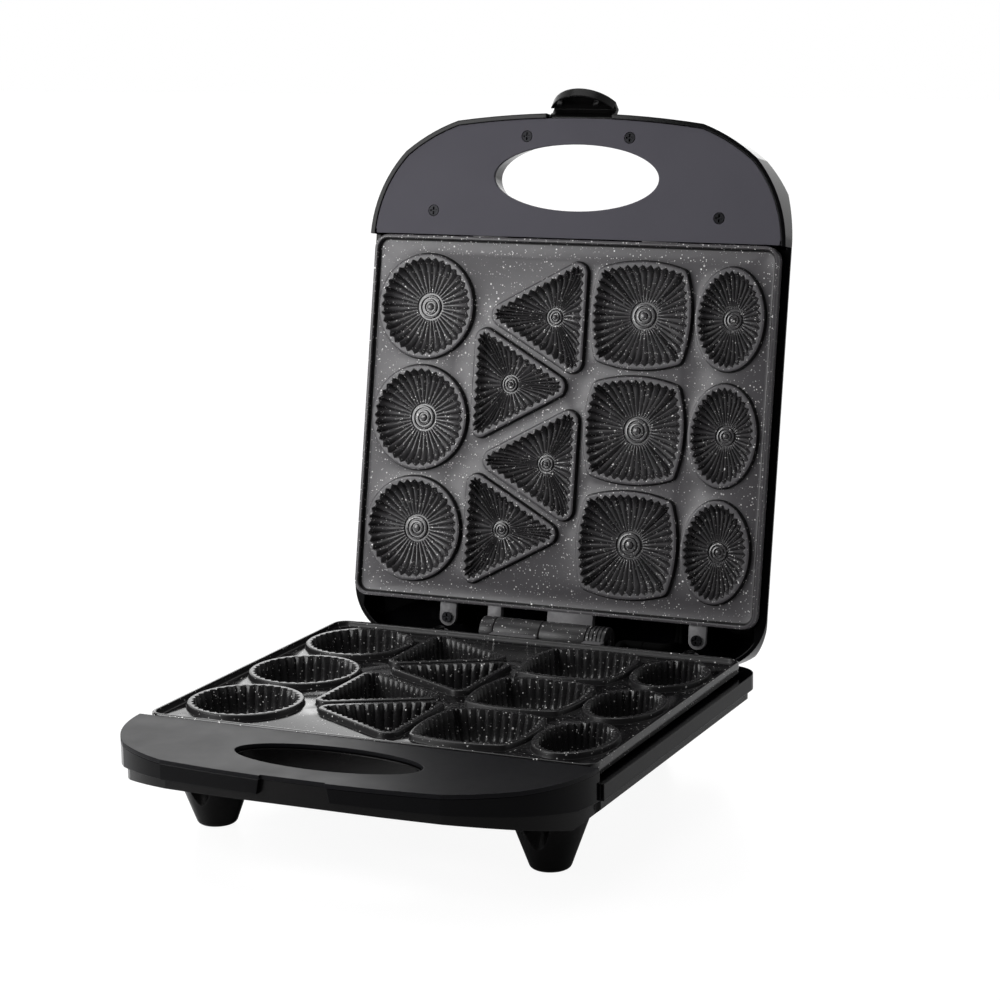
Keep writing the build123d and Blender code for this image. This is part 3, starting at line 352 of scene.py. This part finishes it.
# The tabs for the plate's screws at the rear, and the tongues that hold it in front.
TAB_PLACES, TAB_RADIUS, TAB_REACH, TAB_LENGTH = (-61.0, 86.0), 5.0, 8.2, 9.0
TONGUE_PLACES, TONGUE_HALF_WIDTH, TONGUE_REACH, TONGUE_OVERLAP = (-50, 50), 10, 5, 1
TAB_TOP, TAB_UNDERSIDE = 3.0, 5.5
# The posts that carry the reflector tray.
POST_X, POST_Y, POST_RADIUS, POST_EDGE = (-61.0, 73.0), (-31.0, 31.0), 3.0, 0.2
POST_START, POST_LENGTH = 5.6, 6.5
# The knuckles on the hinge pin, and the arms that carry them.
ARM_TOP, ARM_UNDERSIDE, ARM_OVERLAP, ARM_STOP = 0.3, 4.3, 1, 3
KNUCKLE_RADIUS, BORE_RADIUS, KNUCKLE_EDGE = 8.2, 2.55, 0.6
RIB_MARGIN, RIB_PITCH, RIB_HEIGHT = 1.6, 2.3, 0.7
# Along X from where one rib ends: the groove's floor begins and ends, and the next rib begins.
RIB_GROOVE = (0.25, 0.9, 1.15)


def plate_outline(inset, steps=8):
    """The plate's rounded outline, moved in."""
    r = PLATE_CORNER - inset
    reach_x, reach_y = PLATE_WIDTH / 2 - inset - r, PLATE_LENGTH / 2 - inset - r
    out = []
    for k, (sx, sy) in enumerate(((1, 1), (-1, 1), (-1, -1), (1, -1))):
        for i in range(steps + 1):
            a = math.radians(90 * k + 90 * i / steps)
            out.append((sx * reach_x + r * math.cos(a), sy * reach_y + r * math.sin(a)))
    return out


def rectangle(left, right, front, rear):
    return [(left, front), (right, front), (right, rear), (left, rear)]


def prism(b, outline, near, far, edge=0.3):
    """A solid with softened edges from an anticlockwise outline."""
    part = 0.3 * edge
    cx = sum(p[0] for p in outline) / len(outline)
    cy = sum(p[1] for p in outline) / len(outline)

    def loop(pull, depth):
        points = []
        for x, y in outline:
            r = math.hypot(x - cx, y - cy)
            k = 1 - pull / max(r, pull)
            points.append((cx + (x - cx) * k, cy + (y - cy) * k, depth))
        return b.add(points)

    loops = [loop(edge, near), loop(part, near + part), loop(0, near + edge),
             loop(0, far - edge), loop(part, far - part), loop(edge, far)]
    for p, q in zip(loops, loops[1:]):
        b.band(p, q)
    b.face(loops[0], flip=True)
    b.face(loops[-1])


def tab(b, x, steps=14):
    """A strip behind the plate that ends in a half circle round its screw."""
    y = REAR + TAB_REACH
    turns = [math.pi * i / steps for i in range(steps + 1)]
    outline = [(x + TAB_RADIUS * math.cos(a), y + TAB_RADIUS * math.sin(a)) for a in turns]
    outline += [(x - TAB_RADIUS, y - TAB_LENGTH), (x + TAB_RADIUS, y - TAB_LENGTH)]
    prism(b, outline, TAB_TOP, TAB_UNDERSIDE)


def tongue(b, x):
    """A strip in front of the plate that lies under the casing's edge."""
    left, right = x - TONGUE_HALF_WIDTH, x + TONGUE_HALF_WIDTH
    outline = rectangle(left, right, FRONT - TONGUE_REACH, FRONT + TONGUE_OVERLAP)
    prism(b, outline, TAB_TOP, TAB_UNDERSIDE)


def post(b, x, y, end, sides=16):
    """A post behind the plate that carries the reflector tray."""
    turns = [2 * math.pi * i / sides for i in range(sides)]
    ring = [(x + POST_RADIUS * math.cos(a), y + POST_RADIUS * math.sin(a)) for a in turns]
    prism(b, ring, POST_START, end, POST_EDGE)


def knuckle(b, start, end, depth, ribs, sides=40):
    """A turned barrel round the hinge pin, with fine ribs if asked."""
    r, bore, edge = KNUCKLE_RADIUS, BORE_RADIUS, KNUCKLE_EDGE
    part = edge / 4
    profile = [(start, bore), (start, r - edge), (start + part, r - part), (start + edge, r)]
    if ribs:
        fall, rise, land = RIB_GROOVE
        x = start + RIB_MARGIN
        while x + RIB_MARGIN < end:
            profile += [(x, r), (x + fall, r - RIB_HEIGHT), (x + rise, r - RIB_HEIGHT), (x + land, r)]
            x += RIB_PITCH
    profile += [(end - edge, r), (end - part, r - part), (end, r - edge), (end, bore)]
    turns = [2 * math.pi * i / sides for i in range(sides)]
    loops = [b.add([(x, HINGE_Y + r * math.cos(a), depth + r * math.sin(a)) for a in turns])
             for x, r in profile]
    for p, q in zip(loops, loops[1:] + loops[:1]):
        b.band(p, q, flip=True)


def plate(half):
    """One cast plate: cups, rim, tray, tabs, tongues, posts, arms and knuckles."""
    b = Build()
    pairs = [cup(b, half, *place) for place in cup_places()]
    rim = [b.add([(x, y, depth) for x, y in plate_outline(inset)]) for inset, depth in RIM]
    for coat, p, q in zip(RIM_COATS, rim, rim[1:]):
        b.use(coat)
        b.band(p, q)
    b.use(TRAY_COAT)
    b.sheet(rim[0], [top for top, under in pairs], flip=True)
    b.use(BACK)
    b.sheet(rim[-1], [under for top, under in pairs])
    for x in TAB_PLACES:
        tab(b, x)
    for x in TONGUE_PLACES:
        tongue(b, x)
    for x in POST_X:
        for y in POST_Y:
            post(b, x, y, half["cup_depth"] + CAST_WALL + POST_LENGTH)
    for start, end, ribs in half["knuckles"]:
        b.use(BACK)
        prism(b, rectangle(start, end, REAR - ARM_OVERLAP, HINGE_Y - ARM_STOP), ARM_TOP, ARM_UNDERSIDE)
        b.use(HINGE_COAT)
        knuckle(b, start, end, half["hinge_depth"], ribs)
    b.make(half)


# Material helpers

# Most of a noise's values lie between these two.
NOISE_SPAN = (0.3, 0.7)


def new(tree, kind, **values):
    node = tree.nodes.new("ShaderNode" + kind)
    for key, value in values.items():
        setattr(node, key, value)
    return node


def feed(tree, value, socket):
    """Gives a socket a number or another node's output."""
    if isinstance(value, (int, float)):
        socket.default_value = value
    else:
        tree.links.new(value, socket)


def combine(tree, operation, first, second):
    """A Math node."""
    node = new(tree, "Math", operation=operation)
    feed(tree, first, node.inputs[0])
    feed(tree, second, node.inputs[1])
    return node.outputs[0]


def blend(tree, factor, first, second):
    """The first number where the factor is 0 and the second where it is 1."""
    node = new(tree, "Mix")
    for key, value in (("Factor", factor), ("A", first), ("B", second)):
        feed(tree, value, node.inputs[key])
    return node.outputs["Result"]


def rescale(tree, value, low, high, to_low=0.0, to_high=1.0):
    node = new(tree, "MapRange", clamp=True)
    for key, v in (("From Min", low), ("From Max", high), ("To Min", to_low), ("To Max", to_high)):
        node.inputs[key].default_value = v
    tree.links.new(value, node.inputs["Value"])
    return node.outputs["Result"]


def ramp(tree, value, *stops):
    """Runs between two colours, each given with its place."""
    node = new(tree, "ValToRGB")
    for element, (place, colour) in zip(node.color_ramp.elements, stops):
        element.position = place
        element.color = (*colour, 1)
    tree.links.new(value, node.inputs["Fac"])
    return node.outputs["Color"]


def material(name, base, roughness, metallic=0.0, specular=0.5):
    """A new material, with its nodes, its shader and object coordinates in millimetres."""
    m = bpy.data.materials.new(name)
    m.use_nodes = True
    tree = m.node_tree
    shader = tree.nodes["Principled BSDF"]
    shader.inputs["Base Color"].default_value = (*base, 1)
    for key, value in (("Roughness", roughness), ("Metallic", metallic), ("Specular IOR Level", specular)):
        shader.inputs[key].default_value = value
    place = new(tree, "VectorMath", operation="SCALE")
    place.inputs["Scale"].default_value = 1 / MM
    tree.links.new(new(tree, "TexCoord").outputs["Object"], place.inputs[0])
    return m, tree, shader, place.outputs[0]


def noise(tree, place, scale, detail=2, rough=0.5):
    node = new(tree, "TexNoise")
    for key, value in (("Scale", scale), ("Detail", detail), ("Roughness", rough)):
        node.inputs[key].default_value = value
    tree.links.new(place, node.inputs["Vector"])
    return node.outputs["Fac"]


def shades(tree, value, base, low, high=1.0, stops=NOISE_SPAN):
    """The base colour, from this share of it to that one."""
    colours = [tuple(share * c for c in base) for share in (low, high)]
    return ramp(tree, value, *zip(stops, colours))


def polish(tree, shader, value, roughness, low, high):
    """The roughness, from this share of it to that one."""
    uneven = rescale(tree, value, *NOISE_SPAN, low * roughness, high * roughness)
    tree.links.new(uneven, shader.inputs["Roughness"])


def bump(tree, shader, height, strength, distance, edge=0.0):
    """Fine relief, on edges that are softened over a distance in metres."""
    node = new(tree, "Bump")
    node.inputs["Strength"].default_value = strength
    node.inputs["Distance"].default_value = distance
    tree.links.new(height, node.inputs["Height"])
    if edge:
        bevel = new(tree, "Bevel", samples=6)
        bevel.inputs["Radius"].default_value = edge
        tree.links.new(bevel.outputs["Normal"], node.inputs["Normal"])
    tree.links.new(node.outputs["Normal"], shader.inputs["Normal"])


# Materials

SPECK_COLOUR = (0.9, 0.89, 0.88)
SPECK_EDGE = 0.35  # the share of a speck's size over which it fades
SHOWN_EDGE = 0.02  # the share of the cells whose speck shows faintly
# Each row: cells in a millimetre, share of the cells with a speck, its size, its least brightness.
SPECK_LAYERS = [(0.22, 0.6, 0.16, 0.5), (0.55, 0.6, 0.31, 0.15), (0.95, 0.6, 0.4, 0.05)]


def specks(tree, place, scale, keep, size, pale):
    """Pale dots of uneven size and brightness, one in some of the cells."""
    cells = new(tree, "TexVoronoi", feature="F1")
    cells.inputs["Scale"].default_value = scale
    tree.links.new(place, cells.inputs["Vector"])
    pick = new(tree, "SeparateColor")
    tree.links.new(cells.outputs["Color"], pick.inputs["Color"])
    shown = rescale(tree, pick.outputs["Red"], 1 - keep, 1 - keep + SHOWN_EDGE)
    reach = combine(tree, "MULTIPLY", pick.outputs["Green"], size)
    inside = combine(tree, "SUBTRACT", reach, cells.outputs["Distance"])
    dot = rescale(tree, inside, 0.0, size * SPECK_EDGE)
    brightness = rescale(tree, pick.outputs["Blue"], 0.0, 1.0, pale, 1.0)
    return combine(tree, "MULTIPLY", combine(tree, "MULTIPLY", dot, shown), brightness)


def coating(name, base, roughness, specular, plenty):
    """Dark baked coating with a fine tooth and pale mineral specks, more or less plenty."""
    m, tree, shader, place = material(name, base, roughness, specular=specular)
    cloud = shades(tree, noise(tree, place, scale=0.03, detail=3), base, low=0.93, high=1.07)
    layers = [specks(tree, place, scale, keep * plenty, size, pale)
              for scale, keep, size, pale in SPECK_LAYERS]
    small = combine(tree, "MAXIMUM", layers[0], layers[1])
    dots = combine(tree, "MAXIMUM", small, layers[2])
    mix = new(tree, "MixRGB")
    mix.inputs["Color2"].default_value = (*SPECK_COLOUR, 1)
    tree.links.new(cloud, mix.inputs["Color1"])
    tree.links.new(dots, mix.inputs["Fac"])
    tree.links.new(mix.outputs[0], shader.inputs["Base Color"])
    polish(tree, shader, noise(tree, place, scale=0.25, detail=4), roughness, low=0.93, high=1.07)
    tooth_form = noise(tree, place, scale=2.2, detail=3, rough=0.6)
    bump(tree, shader, tooth_form, strength=0.12, distance=0.00008)
    return m


def plastic(name, base, roughness, grain, grain_scale, edge=0.0, specular=0.5):
    """Moulded plastic with a fine texture, faint flow marks and softened edges."""
    m, tree, shader, place = material(name, base, roughness, specular=specular)
    flow = shades(tree, noise(tree, place, scale=0.02, detail=3), base, low=0.97, high=1.03)
    tree.links.new(flow, shader.inputs["Base Color"])
    polish(tree, shader, noise(tree, place, scale=0.06, detail=4), roughness, low=0.94, high=1.06)
    bump(tree, shader, noise(tree, place, scale=grain_scale), strength=grain, distance=0.0001, edge=edge)
    return m


def shell(name, base, outer, roughness, outer_roughness, specular):
    """Glossy plastic whose face towards the rear is satin and painted paler, as painted light."""
    m, tree, shader, place = material(name, base, roughness, specular=specular)
    facing = new(tree, "SeparateXYZ")
    tree.links.new(new(tree, "TexCoord").outputs["Normal"], facing.inputs[0])
    side_on, rear_on = 0.15, 0.6
    rear = rescale(tree, facing.outputs["Y"], side_on, rear_on)
    # The paler colour on the rear face is painted light.
    tree.links.new(ramp(tree, rear, (0.0, base), (1.0, outer)), shader.inputs["Base Color"])
    tree.links.new(rescale(tree, rear, 0.0, 1.0, roughness, outer_roughness), shader.inputs["Roughness"])
    bump(tree, shader, noise(tree, place, scale=1.6), strength=0.08, distance=0.0001, edge=0.0008)
    return m


def metal(name, base, roughness, scale=(0.3, 0.3, 8.0), metallic=1.0):
    """Metal with fine drawn lines and uneven polish."""
    m, tree, shader, place = material(name, base, roughness, metallic=metallic)
    stretch = new(tree, "Mapping")
    stretch.inputs["Scale"].default_value = scale
    tree.links.new(place, stretch.inputs["Vector"])
    lines = noise(tree, stretch.outputs[0], scale=1.0, detail=4)
    stain = shades(tree, noise(tree, place, scale=0.1, detail=3), base, low=0.85)
    tree.links.new(stain, shader.inputs["Base Color"])
    polish(tree, shader, lines, roughness, low=0.8, high=1.3)
    bump(tree, shader, lines, strength=0.15, distance=0.00005, edge=0.0002)
    return m


def woven(name, base, specular=0.5):
    """A braided heat-proof sleeve."""
    m, tree, shader, place = material(name, base, roughness=0.85, specular=specular)
    braid = new(tree, "TexWave", wave_type="BANDS", bands_direction="DIAGONAL")
    braid.inputs["Scale"].default_value = 1.1
    braid.inputs["Distortion"].default_value = 1.2
    tree.links.new(place, braid.inputs["Vector"])
    threads = shades(tree, braid.outputs["Fac"], base, low=0.6, stops=(0.2, 0.8))
    tree.links.new(threads, shader.inputs["Base Color"])
    bump(tree, shader, braid.outputs["Fac"], strength=0.6, distance=0.0002)
    return m


def glass(name, base):
    """Clear coloured plastic or glass."""
    m, tree, shader, place = material(name, base, roughness=0.08)
    shader.inputs["Transmission Weight"].default_value = 0.9
    shader.inputs["IOR"].default_value = 1.49
    cloud = shades(tree, noise(tree, place, scale=0.4), base, low=0.85)
    tree.links.new(cloud, shader.inputs["Base Color"])
    return m


CAST_BACK = metal("cast_back", (0.15, 0.147, 0.152), 0.55, scale=(0.6, 0.6, 0.6), metallic=0.3)
HINGE_CAST = coating("coating_hinge", (0.023, 0.0222, 0.0233), 0.42, specular=0.35, plenty=0.6)
# Near-black copy of the coating: painted shade on the lands' walls and the rim's inner slope.
EDGE_SHADE_CAST = coating("coating_edge_painted_shade", (0.008, 0.0076, 0.0082), 0.4, specular=0.25, plenty=0.3)
LOWER_TRAY = coating("coating_lower", (0.004, 0.0038, 0.0042), 0.14, specular=0.4, plenty=0.45)
LOWER_CUPS = coating("coating_lower_cups", (0.013, 0.0126, 0.0132), 0.27, specular=0.26, plenty=0.38)
# Both plates carry one coating. The lid's copies are painted paler than the base's, as painted light, and the
# lid's cups darker than its tray, as painted shade.
UPPER_TRAY_PAINTED_LIGHT = coating("coating_upper", (0.065, 0.0614, 0.0665), 0.36, specular=0.4, plenty=0.9)
UPPER_CUPS_PAINTED_LIGHT_AND_SHADE = coating("coating_upper_cups", (0.046, 0.0441, 0.0466), 0.24, specular=0.6, plenty=0.85)
GLOSS = plastic("gloss_plastic", (0.0015, 0.0015, 0.0019), 0.15, grain=0.03, grain_scale=0.5, edge=0.0008,
                specular=0.07)
# Its rear face is painted paler, as painted light.
SHELL_REAR_PAINTED_LIGHT = shell("shell_plastic_painted_rear_light", (0.0015, 0.0015, 0.0019), (0.014, 0.014, 0.0148), 0.15, 0.5, specular=0.11)
SATIN = plastic("satin_plastic", (0.003, 0.0028, 0.0029), 0.26, grain=0.2, grain_scale=2.6, edge=0.0008,
                specular=0.12)
PANEL = plastic("panel_grey", (0.077, 0.0742, 0.0885), 0.6, grain=0.12, grain_scale=2.0, edge=0.0005,
                specular=0.1)
PANEL_LOW = plastic("panel_grey_lower", (0.003, 0.003, 0.004), 0.44, grain=0.05, grain_scale=2.0,
                    edge=0.0005, specular=0.1)
ZINC = metal("zinc", (0.5, 0.5, 0.51), 0.32)
DARK_ZINC = metal("dark_zinc", (0.011, 0.011, 0.012), 0.3)
SHEATH = metal("heater_sheath", (0.2, 0.19, 0.18), 0.5)
FOIL = metal("tray_sheet", (0.75, 0.75, 0.77), 0.3, scale=(0.2, 6.0, 0.2))
CERAMIC = plastic("ceramic", (0.72, 0.71, 0.67), 0.35, grain=0.15, grain_scale=3.0, edge=0.0003)
RUBBER = plastic("rubber", (0.012, 0.012, 0.012), 0.75, grain=0.5, grain_scale=3.0, edge=0.0004)
SLEEVE = woven("lead_sleeve", (0.5, 0.46, 0.38))
# Near-black sleeve for the leads seen in the hinge's gap, as painted shade.
SHADE_DARK_SLEEVE = woven("lead_sleeve_painted_shade", (0.003, 0.003, 0.003), specular=0.05)
BOARD = plastic("board", (0.02, 0.13, 0.05), 0.45, grain=0.2, grain_scale=4.0)
LENS = glass("lens_red", (0.75, 0.03, 0.02))
LAMP = glass("lamp_glass", (0.95, 0.7, 0.5))

# What is made of each material. The two plates are hidden by the pieces that stand for them.
MADE_OF = [
    (SATIN, ["base_pan", "cord_clamp", "latch"]),
    (GLOSS, ["base_frame"]),
    (SHELL_REAR_PAINTED_LIGHT, ["lid_housing"]),
    (PANEL, ["lid_handle_cover"]),
    (PANEL_LOW, ["base_handle_cover"]),
    (RUBBER, ["foot_pads", "cord_bush"]),
    (CAST_BACK, ["lower_plate", "upper_plate"]),
    (SHEATH, ["lower_element", "upper_element"]),
    (FOIL, ["lower_reflector", "upper_reflector", "thermal_fuse"]),
    (CERAMIC, ["terminal_block", "thermostat"]),
    (SLEEVE, ["base_leads"]),
    # These leads and sleeves are painted near-black, as shade in the hinge's gap.
    (SHADE_DARK_SLEEVE, ["base_lead_sleeve", "lid_lead_sleeve", "lid_leads"]),
    (BOARD, ["lamp_board"]),
    (LAMP, ["lamps"]),
    (LENS, ["lamp_lenses"]),
    (DARK_ZINC, ["lower_plate_screws", "upper_plate_screws", "lid_cover_screws"]),
    (ZINC, ["base_cover_screws", "cord_clamp_screws", "terminal_block_screws", "lower_reflector_screws",
            "upper_reflector_screws", "lamp_board_screws", "lower_terminals", "upper_terminals", "fuse_clip",
            "hinge_pin", "latch_pin"]),
]

# What differs between the plates. A knuckle is where it starts and ends along X, and whether it has ribs.
LOWER = dict(
    name="lower_cup_plate", node="lower_plate", body="base", place=BASE,
    cup_depth=18.0, bowl=LOWER_BOWL, teeth=1.5, teeth_form=lobe, land_coat=CUP_COAT,
    hinge_depth=HINGE_DROP, knuckles=[(-27.3, -0.5, False), (27.1, 38.3, True)],
    coats=[LOWER_TRAY, LOWER_CUPS, CAST_BACK, HINGE_CAST, EDGE_SHADE_CAST])
UPPER = dict(
    name="upper_cup_plate", node="upper_plate", body="lid", place=LID,
    cup_depth=8.0, bowl=UPPER_BOWL, teeth=1.75, teeth_form=tooth, land_coat=TRAY_COAT,
    hinge_depth=-HINGE_DROP, knuckles=[(-35.7, -27.7, False), (-0.1, 26.7, False)],
    coats=[UPPER_TRAY_PAINTED_LIGHT, UPPER_CUPS_PAINTED_LIGHT_AND_SHADE, CAST_BACK, HINGE_CAST, EDGE_SHADE_CAST])

for look, names in MADE_OF:
    for name in names:
        nodes[name].data.materials.clear()
        nodes[name].data.materials.append(look)

plate(LOWER)
plate(UPPER)


# Stage, lamps and camera

FLOOR_TINT, FLOOR_ROUGHNESS = (0.92, 0.92, 0.93), 0.28
# The share of the floor that glows for the camera, so that it stays white and keeps a pale shadow.
GLOW_SHARE, GLOW = 0.86, 1.08
FLOOR_REACH = 6

# Strengths of the world: its soft light, the room that mirrors in front of the machine, and the backdrop.
SOFT_LIGHT, ROOM, BACKDROP = 0.22, 0.1, 1.0
# Where the room ends and where the backdrop begins, by a direction's share along Y.
ROOM_END, BACKDROP_START = -0.25, 0.35
# The softbox: the way to it, how near to that way it begins and is full, and its strength.
SOFTBOX_WAY, SOFTBOX_EDGE, SOFTBOX_FULL, SOFTBOX = (-0.41, 0.89, 0.2), 0.93, 0.985, 1.3

# The photograph's camera: its place, its turns in degrees and its focal length in pixels.
CAMERA_PLACE = (0.5775, -1.19395 - SHIFT * MM, 0.4232)
YAW, PITCH, ROLL = 24.73, 11.52, 0.91
FOCAL_PIXELS, PHOTO_PIXELS, SENSOR = 2712.2, 1000, 36


def seen_directly(tree):
    """1 for what the camera sees, also through glass, and 0 for the rest."""
    path = new(tree, "LightPath")
    return combine(tree, "MAXIMUM", path.outputs["Is Camera Ray"], path.outputs["Is Transmission Ray"])


def floor_material():
    m, tree, shader = material("floor_white", FLOOR_TINT, FLOOR_ROUGHNESS)[:3]
    glow = new(tree, "Emission")
    glow.inputs["Color"].default_value = (1, 1, 1, 1)
    glow.inputs["Strength"].default_value = GLOW
    mix = new(tree, "MixShader")
    tree.links.new(combine(tree, "MULTIPLY", seen_directly(tree), GLOW_SHARE), mix.inputs["Fac"])
    tree.links.new(shader.outputs[0], mix.inputs[1])
    tree.links.new(glow.outputs[0], mix.inputs[2])
    tree.links.new(mix.outputs[0], tree.nodes["Material Output"].inputs["Surface"])
    return m


def make_floor():
    r = FLOOR_REACH
    mesh = bpy.data.meshes.new("floor")
    mesh.from_pydata([(-r, -r, 0), (r, -r, 0), (r, r, 0), (-r, r, 0)], [], [(0, 1, 2, 3)])
    mesh.materials.append(floor_material())
    add_to_scene("floor", mesh)


def make_world():
    """Mirror-like reflections see a pale backdrop behind the machine and a darker room in front of it.

    A softbox behind the machine, low on the left, gives the sheen on the lower plate.
    """
    world = bpy.data.worlds.new("studio")
    bpy.context.scene.world = world
    world.use_nodes = True
    tree = world.node_tree
    way = new(tree, "TexCoord").outputs["Generated"]
    parts = new(tree, "SeparateXYZ")
    tree.links.new(way, parts.inputs[0])
    room = rescale(tree, parts.outputs["Y"], ROOM_END, BACKDROP_START, ROOM, BACKDROP)
    toward = new(tree, "VectorMath", operation="DOT_PRODUCT")
    tree.links.new(way, toward.inputs[0])
    toward.inputs[1].default_value = SOFTBOX_WAY
    softbox = rescale(tree, toward.outputs["Value"], SOFTBOX_EDGE, SOFTBOX_FULL, 0.0, SOFTBOX)
    mirrored = new(tree, "LightPath").outputs["Is Glossy Ray"]
    indirect = blend(tree, mirrored, SOFT_LIGHT, combine(tree, "ADD", room, softbox))
    background = tree.nodes["Background"]
    background.inputs["Color"].default_value = (1, 1, 1, 1)
    tree.links.new(blend(tree, seen_directly(tree), indirect, BACKDROP), background.inputs["Strength"])


def make_lamp(name, place, target, size, power):
    data = bpy.data.lights.new(name, "AREA")
    data.energy = power
    data.size = size
    obj = add_to_scene(name, data)
    obj.location = place
    obj.rotation_euler = (Vector(target) - Vector(place)).to_track_quat("-Z", "Y").to_euler()


def make_camera():
    yaw, pitch, roll = (math.radians(a) for a in (YAW, PITCH, ROLL))
    forward = Vector((-math.sin(yaw) * math.cos(pitch), math.cos(yaw) * math.cos(pitch), -math.sin(pitch)))
    level = Vector((math.cos(yaw), math.sin(yaw), 0))
    below = forward.cross(level)
    right = level * math.cos(roll) + below * math.sin(roll)
    down = below * math.cos(roll) - level * math.sin(roll)
    data = bpy.data.cameras.new("camera")
    data.sensor_width = SENSOR
    data.lens = FOCAL_PIXELS * SENSOR / PHOTO_PIXELS
    camera = add_to_scene("camera", data)
    turn = Matrix((right, -down, -forward)).transposed().to_4x4()
    camera.matrix_world = Matrix.Translation(CAMERA_PLACE) @ turn
    bpy.context.scene.camera = camera


make_floor()
make_world()
make_lamp("key", place=(-0.52, -0.56, 0.42), target=(0, 0, 0.17), size=0.45, power=5.6)
make_lamp("fill", place=(1.4, -0.9, 1.0), target=(0, 0, 0.15), size=1.0, power=0.4)
make_lamp("top", place=(-0.2, 0.2, 1.7), target=(0, 0, 0.0), size=1.1, power=9)
make_lamp("rear", place=(-0.5, 1.6, 1.1), target=(0, 0.1, 0.2), size=1.2, power=5)
make_camera()
bpy.context.scene.view_settings.view_transform = "Standard"
